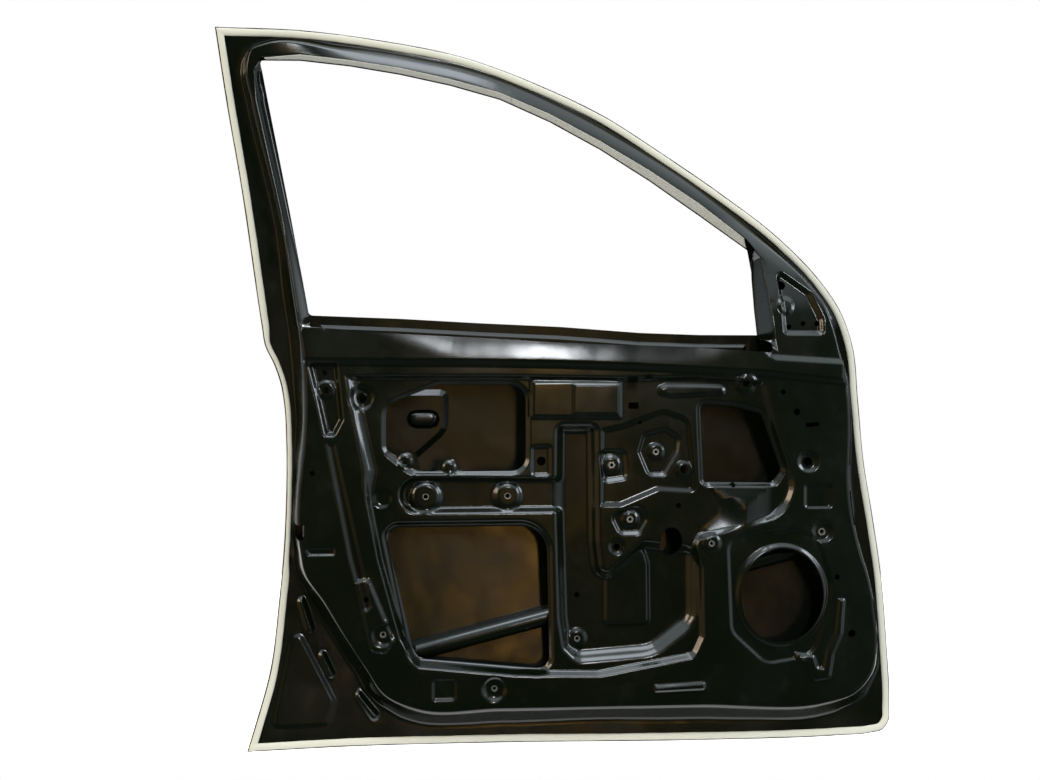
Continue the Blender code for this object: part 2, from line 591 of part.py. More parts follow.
def thickness_directions(places, triangles, depth, towards):
    """Return, for each point, the step that moves every face around it by one unit of sheet."""
    solid = in_depth(places, depth)
    corners = solid[triangles]
    normals = np.cross(corners[:, 1] - corners[:, 0], corners[:, 2] - corners[:, 0])
    normals /= np.clip(np.linalg.norm(normals, axis=1), 1e-12, None)[:, None]
    normals *= np.sign(normals[:, 1:2]) * towards
    matrix = np.zeros((len(places), 3, 3))
    total = np.zeros((len(places), 3))
    for corner in range(3):
        first = corners[:, (corner + 1) % 3] - corners[:, corner]
        second = corners[:, (corner + 2) % 3] - corners[:, corner]
        sizes = np.linalg.norm(first, axis=1) * np.linalg.norm(second, axis=1)
        angle = np.arccos(np.clip((first * second).sum(axis=1) / np.clip(sizes, 1e-12, None), -1, 1))
        np.add.at(matrix, triangles[:, corner],
                  angle[:, None, None] * normals[:, :, None] * normals[:, None, :])
        np.add.at(total, triangles[:, corner], angle[:, None] * normals)
    step = (np.linalg.pinv(matrix, rcond=SAME_PLANE, hermitian=True) @ total[:, :, None])[:, :, 0]
    length = np.linalg.norm(step, axis=1)
    return step * np.clip(LONGEST_MITRE / np.clip(length, 1e-9, None), None, 1)[:, None]


def rim_edges(triangles):
    """Return the directed edges that only one triangle uses."""
    edges = np.concatenate((triangles[:, [0, 1]], triangles[:, [1, 2]], triangles[:, [2, 0]]))
    known = {tuple(edge) for edge in edges.tolist()}
    return [(start, end) for start, end in known if (end, start) not in known]


def sheet_body(name, front, back, triangles, material):
    """Make a closed sheet between the corners of its cabin side and of its outer side."""
    count = len(front)
    faces = [tuple(face) for face in triangles.tolist()]
    faces += [tuple(face[::-1]) for face in (triangles + count).tolist()]
    faces += [(end, start, start + count, end + count) for start, end in rim_edges(triangles)]
    return add_body(name, np.concatenate((front, back)), faces, material)


def add_body(name, corners, faces, material):
    """Make one object from points in millimetres, facing outwards and used points only."""
    corners = np.asarray(corners, float)
    used = sorted({index for face in faces for index in face})
    renumber = {old: new for new, old in enumerate(used)}
    placed = (corners[used] - origin()) * MILLIMETRE
    mesh = bpy.data.meshes.new(name)
    mesh.from_pydata(placed.tolist(), [], [tuple(renumber[index] for index in face) for face in faces])
    work = bmesh.new()
    work.from_mesh(mesh)
    if work.calc_volume(signed=True) < 0:
        bmesh.ops.reverse_faces(work, faces=work.faces)
    work.to_mesh(mesh)
    work.free()
    mesh.materials.append(material)
    thing = bpy.data.objects.new(name, mesh)
    bpy.context.scene.collection.objects.link(thing)
    return thing


@functools.cache
def origin():
    """Return the middle of the upper hinge face in millimetres."""
    middle = np.array([(0.0, UPPER_HINGE_Z)])
    return np.array((0.0, Panel().depth(middle)[0], UPPER_HINGE_Z))


def in_depth(loop, depth):
    """Lift a plan loop to the given depths."""
    return np.column_stack((loop[:, 0], np.broadcast_to(depth, len(loop)), loop[:, 1]))


def hem_widths(outline):
    """Return the hem width at each outline point; it is narrower beside the latch."""
    narrow = (outline[:, 0] < NARROW_EDGE) & (outline[:, 1] < NARROW_TOP) & (outline[:, 1] > NARROW_BOTTOM)
    width = np.where(narrow, 1 - NARROW_HEM, 1.0) * HEM_WIDTH
    return (np.roll(width, 1) + width + np.roll(width, -1)) / 3


def skin_guides():
    """Return the loops that the skin shares with the pieces seated on it."""
    belt = belt_loop(BELT_OUTER_TOP, BELT_OUTER_HEIGHT)
    handle = rounded(HANDLE_PLATE)
    slot = rounded(HANDLE_SLOT)
    return {
        "belt": belt, "belt_hat": offset_loop(belt, BELT_HAT_EDGE),
        "belt_hat_top": offset_loop(belt, BELT_HAT_EDGE + BELT_HAT_RUN),
        "handle": handle, "handle_top": offset_loop(handle, HANDLE_PLATE_RUN),
        "slot": slot, "cup_foot": offset_loop(slot, HANDLE_CUP_LEDGE),
        "cup_top": offset_loop(slot, HANDLE_CUP_LEDGE + HANDLE_CUP_RUN),
    }


def belt_loop(top, height):
    """Return a strip outline below a line of points."""
    upper = np.array(top, float)
    lower = upper[::-1] - np.array((0.0, height))
    return np.concatenate((upper, lower))[::-1]


def build_skin(outline, guides, material):
    """Make the outer panel: skin, hem fold and return flange in one body."""
    border = inset(outline, np.full(len(outline), HEM_FOLD))
    window = divided(rounded(SKIN_WINDOW))
    loops = list(guides.values())
    spots = grid_spots(border, [window], loops, lambda points: np.ones(len(points), bool))
    places, triangles = plan_mesh(border, [window], loops, spots)
    cup = np.clip(signed_distance(places, guides["cup_foot"]) / HANDLE_CUP_RUN, 0, 1) * HANDLE_CUP_DEPTH
    outer = skin_depth(places) - cup
    inwards = thickness_directions(places, triangles, outer, -1)
    outer_side = in_depth(places, outer)
    count = len(places)
    corners = [outer_side + inwards * SKIN_SHEET, outer_side]
    faces = [tuple(face) for face in triangles.tolist()]
    faces += [tuple(face[::-1]) for face in (triangles + count).tolist()]
    ring = [int(np.argmin(np.linalg.norm(places - point, axis=1))) for point in border]
    on_ring = set(ring)
    for start, end in rim_edges(triangles):
        if start not in on_ring:
            faces.append((end, start, start + count, end + count))
    hem = hem_loops(outline, border)
    size = len(border)
    chain = [ring]
    for index, loop in enumerate(hem):
        corners.append(loop)
        chain.append([2 * count + index * size + step for step in range(size)])
    chain.append([index + count for index in ring])
    for near, far in zip(chain, chain[1:]):
        for step in range(size):
            after = (step + 1) % size
            faces.append((near[after], near[step], far[step], far[after]))
    add_body("outer_panel", np.concatenate(corners), faces, material)
    return places, triangles


def hem_loops(outline, border):
    """Return the loops of the hem from the inner side of the fold round to its outer side."""
    lower = SKIN_SHEET + 2 * GAP + PANEL_SHEET
    end = inset(outline, hem_widths(outline))
    return [
        in_depth(border, skin_depth(border) - lower),
        in_depth(end, skin_depth(end) - lower),
        in_depth(end, skin_depth(end) - lower - SKIN_SHEET),
        in_depth(border, skin_depth(border) - lower - SKIN_SHEET),
        in_depth(outline, skin_depth(outline) - (lower + SKIN_SHEET) / 2),
    ]


def build_sealer(outline, material):
    """Make the closed ring of sealer that covers the end of the hem."""
    widths = hem_widths(outline)
    hem_face = 2 * (SKIN_SHEET + GAP) + PANEL_SHEET + SEALER_GAP
    flange_face = SKIN_SHEET + GAP + PANEL_SHEET + SEALER_GAP
    past = widths + GAP
    section = [
        (np.full(len(outline), SEALER_START), hem_face),
        (np.full(len(outline), SEALER_START + SEALER_LEAN), hem_face + SEALER_HEIGHT * SEALER_SHOULDER),
        (widths, hem_face + SEALER_HEIGHT),
        (widths + SEALER_OVERLAP * SEALER_SHOULDER, flange_face + SEALER_HEIGHT),
        (widths + SEALER_OVERLAP, flange_face),
        (past, flange_face),
        (past, hem_face),
    ]
    corners = []
    for distance, height in section:
        loop = inset(outline, distance)
        corners.append(in_depth(loop, skin_depth(loop) - height))
    size = len(outline)
    faces = []
    for row in range(len(section)):
        below = (row + 1) % len(section)
        for step in range(size):
            after = (step + 1) % size
            faces.append((row * size + step, row * size + after, below * size + after, below * size + step))
    add_body("hem_sealer_bead", np.concatenate(corners), faces, material)


def hinge_holes():
    """Return the bolt holes of both hinges as they appear in the sloping front wall."""
    holes = []
    for height in (UPPER_HINGE_Z, LOWER_HINGE_Z):
        for side in (-1, 1):
            z = height + side * HINGE_BOLT_SPACING / 2
            x = wall_middle(z)
            holes.append(ellipse(x, z, HINGE_BOLT_RADIUS * STEEP_SHARE, HINGE_BOLT_RADIUS, HOLE_SIDES))
    return holes


def wall_middle(z):
    """Return where the middle of the front wall stands at a height."""
    front = [point for point in RAISED_EDGE if point[0] > WALL_REAR]
    heights = [point[1] for point in front][::-1]
    middles = [point[0] + point[2] / 2 for point in front][::-1]
    return float(np.interp(z, heights, middles))


def panel_openings():
    """Return every outline that goes through the inner panel."""
    loops = [divided(rounded(PANEL_WINDOW)), rounded(CHECK_SLOT)]
    loops += [rounded(corners) for corners in OPENINGS.values()]
    loops += [ellipse(*SPEAKER, SPEAKER_SIDES), ellipse(*FRONT_OVAL, OVAL_SIDES)]
    loops += [ellipse(x, z, radius, radius, HOLE_SIDES) for x, z, radius in HOLES.values()]
    return loops + hinge_holes()


def build_panel(outline, material):
    """Make the pressed inner panel and return its plan with both sides' depths."""
    panel = Panel()
    border = inset(outline, np.full(len(outline), HEM_FOLD + EDGE_GAP))
    openings = panel_openings()
    plates = plate_loops()
    guides = panel.guides() + list(plates.values())
    spots = grid_spots(border, openings, guides,
                       lambda points: signed_distance(points, panel.foot) < 0)
    places, triangles = plan_mesh(border, openings, guides, spots)
    depth = panel.depth(places)
    front = in_depth(places, depth)
    outwards = thickness_directions(places, triangles, depth, 1)
    sheet_body("inner_panel", front, front + outwards * PANEL_SHEET, triangles, material)
    return places, triangles, front, outwards


def plate_loops():
    """Return the outline of each plate that lies against the back of the inner panel."""
    return {
        "hinge_reinforcement_upper": rounded(UPPER_HINGE_PLATE),
        "hinge_reinforcement_lower": rounded(LOWER_HINGE_PLATE),
        "check_reinforcement": rounded(CHECK_PLATE),
        "latch_reinforcement": rounded(LATCH_PLATE),
        "mirror_reinforcement": rounded(MIRROR_PLATE),
        "belt_reinforcement_inner": belt_loop(BELT_INNER_TOP, BELT_INNER_HEIGHT),
    }


def patch(places, triangles, loop):
    """Return the triangles of a plan that lie inside a loop."""
    return triangles[signed_distance(places[triangles].mean(axis=1), loop) > 0]


def build_plates(plan, material):
    """Make the reinforcement plates that back the inner panel."""
    places, triangles, front, outwards = plan
    near = PANEL_SHEET + GAP
    for name, loop in plate_loops().items():
        far = near + (HINGE_SHEET if name.startswith("hinge") else REINFORCEMENT_SHEET)
        sheet_body(name, front + outwards * near, front + outwards * far, patch(places, triangles, loop),
                   material)


def build_skin_plates(plan, guides, material):
    """Make the outer belt reinforcement and the handle reinforcement against the skin."""
    places, triangles = plan
    seat = skin_depth(places) - SKIN_SHEET - GAP
    hat = np.clip(signed_distance(places, guides["belt_hat"]) / BELT_HAT_RUN, 0, 1) * BELT_HAT_RISE
    skin_plate("belt_reinforcement_outer", places, patch(places, triangles, guides["belt"]), seat - hat,
               material)
    rise = np.clip(signed_distance(places, guides["handle"]) / HANDLE_PLATE_RUN, 0, 1) * HANDLE_PLATE_RISE
    around = patch(places, triangles, guides["handle"])
    around = around[signed_distance(places[around].mean(axis=1), guides["slot"]) < 0]
    skin_plate("handle_reinforcement", places, around, seat - rise, material)


def skin_plate(name, places, triangles, outer, material):
    """Make one plate whose outer side has the given depths."""
    inwards = thickness_directions(places, triangles, outer, -1)
    back = in_depth(places, outer)
    sheet_body(name, back + inwards * REINFORCEMENT_SHEET, back, triangles, material)


def strip_section(panel_point, skin_point, outward):
    """Return the four corners of the glass run strip at one place along the frame."""
    panel_point = np.array(panel_point, float)
    skin_point = np.array(skin_point, float)
    plan = [
        (panel_point - outward * STRIP_CLEARANCE, STRIP_DEPTH),
        (skin_point + outward * (STRIP_LAP + STRIP_SHEET), SKIN_SHEET + GAP),
        (skin_point + outward * STRIP_LAP, SKIN_SHEET + GAP),
        (panel_point - outward * (STRIP_CLEARANCE + STRIP_SHEET), STRIP_DEPTH),
    ]
    places = np.array([place for place, _depth in plan])
    return np.column_stack((places[:, 0], skin_depth(places) - np.array([depth for _place, depth in plan]),
                            places[:, 1]))


def strip_stations():
    """Return matching points and outward directions along the upper window edge."""
    panel_points = np.array(STRIP_PANEL_POINTS, float)
    skin_points = np.array(STRIP_SKIN_POINTS, float)
    along = np.gradient(skin_points, axis=0)
    along /= np.linalg.norm(along, axis=1)[:, None]
    outward = np.column_stack((-along[:, 1], along[:, 0]))
    return panel_points, skin_points, outward


def build_strip(name, low, high, material):
    """Make one glass run strip between two places along the frame."""
    panel_points, skin_points, outward = strip_stations()
    stations = [low] + [x for x in skin_points[:, 0] if low + STRIP_LAP < x < high - STRIP_LAP] + [high]
    sections = []
    for x in stations:
        share = [np.interp(x, skin_points[:, 0], column)
                 for column in (*panel_points.T, *skin_points.T, *outward.T)]
        direction = np.array(share[4:6]) / np.linalg.norm(share[4:6])
        sections.append(strip_section(share[0:2], share[2:4], direction))
    loft(name, sections, material)


def loft(name, sections, material):
    """Join matching closed sections into one capped body."""
    size = len(sections[0])
    faces = [tuple(range(size)), tuple(range(len(sections) * size - 1, (len(sections) - 1) * size - 1, -1))]
    for row in range(len(sections) - 1):
        for step in range(size):
            after = (step + 1) % size
            near = row * size
            far = near + size
            faces.append((near + step, far + step, far + after, near + after))
    return add_body(name, np.concatenate(sections), faces, material)


def beam_ends():
    """Return the two ends of the beam's axis."""
    ends = []
    for x, z in (BEAM_REAR, BEAM_FRONT):
        depth = skin_depth(np.array([(x, z)]))[0] - BEAM_CLEARANCE - BEAM_RADIUS
        ends.append(np.array((x, depth, z)))
    return ends


def build_beam(material):
    """Make the tubular impact beam."""
    rear, front = beam_ends()
    axis = (front - rear) / np.linalg.norm(front - rear)
    across = np.cross(axis, (0.0, 1.0, 0.0))
    across /= np.linalg.norm(across)
    deep = np.cross(across, axis)
    corners = []
    angles = np.arange(BEAM_SIDES) * 2 * math.pi / BEAM_SIDES
    for centre, radius in ((rear, BEAM_RADIUS), (front, BEAM_RADIUS),
                           (front, BEAM_RADIUS - BEAM_WALL), (rear, BEAM_RADIUS - BEAM_WALL)):
        corners.append(centre + radius * (np.cos(angles)[:, None] * across + np.sin(angles)[:, None] * deep))
    faces = []
    for row in range(4):
        below = (row + 1) % 4
        for step in range(BEAM_SIDES):
            after = (step + 1) % BEAM_SIDES
            faces.append((row * BEAM_SIDES + step, row * BEAM_SIDES + after,
                          below * BEAM_SIDES + after, below * BEAM_SIDES + step))
    add_body("impact_beam", np.concatenate(corners), faces, material)


def build_bracket(name, end, towards, material):
    """Make a stepped bracket from the back of the inner panel to the cabin side of the beam."""
    rear, front = beam_ends()
    lean = (front[1] - rear[1]) / (front[0] - rear[0]) * towards * BRACKET_LAP
    seat = RAIL_LEVEL + PANEL_SHEET + GAP
    shelf = end[1] + min(0.0, lean) - BEAM_RADIUS - GAP
    start = end[0] - towards * (BRACKET_FLANGE + BRACKET_SETBACK)
    bend = end[0] - towards * BRACKET_SETBACK
    finish = end[0] + towards * BRACKET_LAP
    profile = [
        (start, seat), (bend + towards * BRACKET_SHEET, seat),
        (bend + towards * BRACKET_SHEET, shelf - BRACKET_SHEET), (finish, shelf - BRACKET_SHEET),
        (finish, shelf), (bend, shelf), (bend, seat + BRACKET_SHEET), (start, seat + BRACKET_SHEET),
    ]
    sections = []
    for side in (-0.5, 0.5):
        height = end[2] + side * BRACKET_HEIGHT
        sections.append(np.array([(x, y, height) for x, y in profile]))
    loft(name, sections, material)


def build_nut(name, boss, across, plan, material):
    """Make a hexagonal weld nut behind one boss."""
    x, z = BOSSES[boss][:2]
    places, _triangles, front, _outwards = plan
    ring = np.hypot(places[:, 0] - x, places[:, 1] - z)
    seat = front[np.argmin(np.abs(ring - HOLES[boss][2])), 1] + PANEL_SHEET + GAP
    corners = []
    steps = np.arange(NUT_SIDES)
    angles = steps * 2 * math.pi / NUT_SIDES
    outer = np.where(steps % 2 == 0, across / math.sqrt(3), across / 2)
    bore = np.full(NUT_SIDES, across * NUT_BORE / 2)
    height = across * NUT_HEIGHT
    for radius, depth in ((outer, seat), (outer, seat + height), (bore, seat + height), (bore, seat)):
        corners.append(np.column_stack((x + radius * np.cos(angles), np.full(NUT_SIDES, depth),
                                        z + radius * np.sin(angles))))
    faces = []
    for row in range(4):
        below = (row + 1) % 4
        for step in range(NUT_SIDES):
            after = (step + 1) % NUT_SIDES
            faces.append((row * NUT_SIDES + step, row * NUT_SIDES + after,
                          below * NUT_SIDES + after, below * NUT_SIDES + step))
    add_body(name, np.concatenate(corners), faces, material)


def main():
    """Build the door shell."""
    clear_scene()
    black = paint("black_electrocoat", (0.012, 0.013, 0.015), 0.24, 0.0)
    cream = paint("cream_sealer", (0.74, 0.74, 0.62), 0.55, 0.0)
    pale = paint("pale_glass_run", (0.58, 0.58, 0.50), 0.5, 0.0)
    steel = paint("coated_steel", (0.020, 0.020, 0.022), 0.35, 0.3)
    zinc = paint("zinc_nuts", (0.35, 0.34, 0.30), 0.4, 0.9)
    outline = smooth_outline(OUTLINE)
    guides = skin_guides()
    skin_plan = build_skin(outline, guides, black)
    panel_plan = build_panel(outline, black)
    build_sealer(outline, cream)
    build_strip("run_strip_rear", STRIP_SKIN_POINTS[0][0] + STRIP_END, STRIP_JOINT, pale)
    build_strip("run_strip_front", STRIP_JOINT + 2 * GAP, STRIP_SKIN_POINTS[-1][0] - STRIP_END, pale)
    build_plates(panel_plan, steel)
    build_skin_plates(skin_plan, guides, steel)
    build_beam(steel)
    rear, front = beam_ends()
    build_bracket("beam_bracket_rear", rear, 1, steel)
    build_bracket("beam_bracket_front", front, -1, steel)
    for boss, across in WELD_NUTS.items():
        build_nut("weld_nut_" + boss, boss, across, panel_plan, zinc)


main()
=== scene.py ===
"""Dresses the bare car door shell: fine pressed sheets, folded hem, sealer, paint, studio and camera.

The file is laid out as an add-on and runs as a script. Plan sizes are in millimetres in the plane of the
door, x towards the front of the car and z up; depth runs along y and smaller values lie nearer the cabin.
"""
import json
import math

import bpy
import numpy as np
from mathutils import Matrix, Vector
from mathutils.geometry import delaunay_2d_cdt

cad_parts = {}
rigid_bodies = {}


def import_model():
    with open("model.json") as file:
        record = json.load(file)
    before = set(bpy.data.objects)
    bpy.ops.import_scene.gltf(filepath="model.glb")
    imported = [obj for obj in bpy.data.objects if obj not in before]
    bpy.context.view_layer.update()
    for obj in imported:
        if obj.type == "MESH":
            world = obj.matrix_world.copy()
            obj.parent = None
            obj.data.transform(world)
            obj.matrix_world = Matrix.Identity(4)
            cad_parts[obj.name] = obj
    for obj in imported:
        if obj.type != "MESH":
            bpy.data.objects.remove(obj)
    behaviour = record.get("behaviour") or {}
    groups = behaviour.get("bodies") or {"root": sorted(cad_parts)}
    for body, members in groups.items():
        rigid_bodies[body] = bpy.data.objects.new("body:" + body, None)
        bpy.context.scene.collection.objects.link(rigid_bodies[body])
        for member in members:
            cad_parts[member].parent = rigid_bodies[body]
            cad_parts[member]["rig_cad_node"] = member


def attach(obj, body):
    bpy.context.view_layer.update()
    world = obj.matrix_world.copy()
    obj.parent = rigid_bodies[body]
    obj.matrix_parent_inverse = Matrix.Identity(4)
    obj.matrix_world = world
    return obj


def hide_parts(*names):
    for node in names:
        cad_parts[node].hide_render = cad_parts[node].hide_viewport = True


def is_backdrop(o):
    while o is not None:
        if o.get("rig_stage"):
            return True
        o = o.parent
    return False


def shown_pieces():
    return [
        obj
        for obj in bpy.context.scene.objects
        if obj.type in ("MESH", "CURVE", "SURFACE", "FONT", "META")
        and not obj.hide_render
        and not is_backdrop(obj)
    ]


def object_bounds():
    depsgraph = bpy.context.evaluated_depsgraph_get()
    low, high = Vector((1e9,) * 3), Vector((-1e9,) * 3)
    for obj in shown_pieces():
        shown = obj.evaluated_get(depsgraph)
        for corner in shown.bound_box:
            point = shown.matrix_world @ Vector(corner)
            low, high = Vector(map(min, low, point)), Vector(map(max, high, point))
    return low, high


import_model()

CAD_BOX = [list(corner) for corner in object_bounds()]

bl_info = {
    "name": "Door shell dressing",
    "version": (1, 0, 0),
    "blender": (4, 5, 0),
    "location": "3D View > Sidebar > Door",
    "description": "Builds the fine sheets, sealer, paint and studio of a bare car door shell",
    "category": "Object",
}

MILLIMETRE = 0.001
HINGE_FACE_DEPTH = -55.34279

# Sheets, clearances and curvature, as in the solids
SKIN_SHEET = 0.8
PANEL_SHEET = 1.0
GAP = 0.3
CROWN = 0.24e-3
BOW = 0.06e-3
BOW_CENTRE = -480.0
RAIL_LEVEL = -90.0
FRAME_RISE = 26.0
FRAME_TOP = 340.0
FRAME_FADE = 180.0
INNER_FLANGE_RISE = 6.0
FRAME_RETURN = 3.5
HEM_WIDTH = 8.0
HEM_FOLD = 1.4
# Share that the hem is narrower by beside the latch, where that part starts and ends, and its ease
HEM_NARROWING = 0.35
LATCH_SIDE = (-225.0, 165.0, 30.0)
EDGE_GAP = 1.0
# How far the drawn skin lies within the solid
INSIDE = 0.08
# Width of the space inside the fold of the hem
FOLD_INSIDE = 0.6

# Points of smooth curves in plan: a third value is 0 at a sharp corner of the outline, and at the raised
# edge it is the run of the wall there. In the outlines that follow it is the radius of a corner.
OUTLINE = [
    (-986, 597, 0), (-863, 598), (-746, 589), (-625, 571), (-501, 533), (-406, 494), (-308, 439),
    (-209, 378), (-107, 306), (-39, 241), (-4, 193), (18, 137), (29, 48), (38, -51), (52, -148),
    (61, -229), (64, -339), (61, -440), (58, -461), (47, -475), (26, -480), (-22, -483), (-247, -486),
    (-562, -481), (-791, -478), (-944, -479, 0), (-933, -441), (-914, -370), (-901, -259), (-896, -199),
    (-892, -107), (-892, -14), (-895, 41), (-901, 76), (-910, 103), (-924, 134), (-928, 160),
    (-934, 203), (-957, 382), (-974, 497),
]
RAISED_EDGE = [
    (-914, 571, 7), (-804, 571, 8), (-716, 563, 8), (-596, 540, 10), (-472, 496, 10), (-345, 435, 9),
    (-214, 354, 9), (-103, 265, 9), (-51, 197, 10), (-29, 127, 14), (-14, 60, 24), (-12, 40, 24),
    (-12, -45, 24), (-13, -70, 24), (-11, -105, 24), (4, -186, 18), (18, -230, 16), (29, -290, 13),
    (32, -340, 13), (24, -380, 18), (-6, -412, 24), (-47, -424, 28), (-255, -424, 28), (-565, -421, 28),
    (-690, -418, 26), (-738, -396, 22), (-768, -354, 20), (-805, -296, 20), (-831, -252, 20),
    (-857, -215, 15), (-867, -170, 10), (-868, -90, 10), (-860, -20, 15), (-859, 100, 20),
    (-868, 168, 18), (-902, 350, 9), (-933, 492, 9), (-940, 543, 8), (-932, 563, 6),
]
# Upper window edges of the panel and of the skin, which the openings, the crest and the strips share
PANEL_EDGE = [
    (-862, 559), (-716, 546), (-641, 533), (-565, 516), (-487, 487), (-409, 450), (-328, 407), (-247, 358),
]
SKIN_EDGE = [
    (-864, 556), (-790, 551), (-716, 542), (-640, 529), (-563, 511), (-484, 480), (-404, 441), (-322, 394),
    (-239, 341),
]
CREST = [
    (-926, 493), (-928, 536, 6), (-916, 552.7), *PANEL_EDGE, (-171, 304, 6), (-149, 272, 10), (-136, 140),
    (-860, 160), (-897, 350),
]
PANEL_WINDOW = [
    (-913, 499), (-922, 552, 6), *PANEL_EDGE, (-171, 304, 3), (-158, 286), (-138, 122, 6), (-255, 129),
    (-349, 132), (-473, 136), (-595, 143), (-716, 148), (-852, 158, 8), (-884, 340),
]
SKIN_WINDOW = [
    (-914, 499), (-923, 554, 4), *SKIN_EDGE, (-160, 289, 4), (-143, 216), (-131, 153, 8), (-233, 153),
    (-331, 156), (-461, 165), (-590, 170), (-716, 176), (-857, 180, 8), (-885, 340),
]

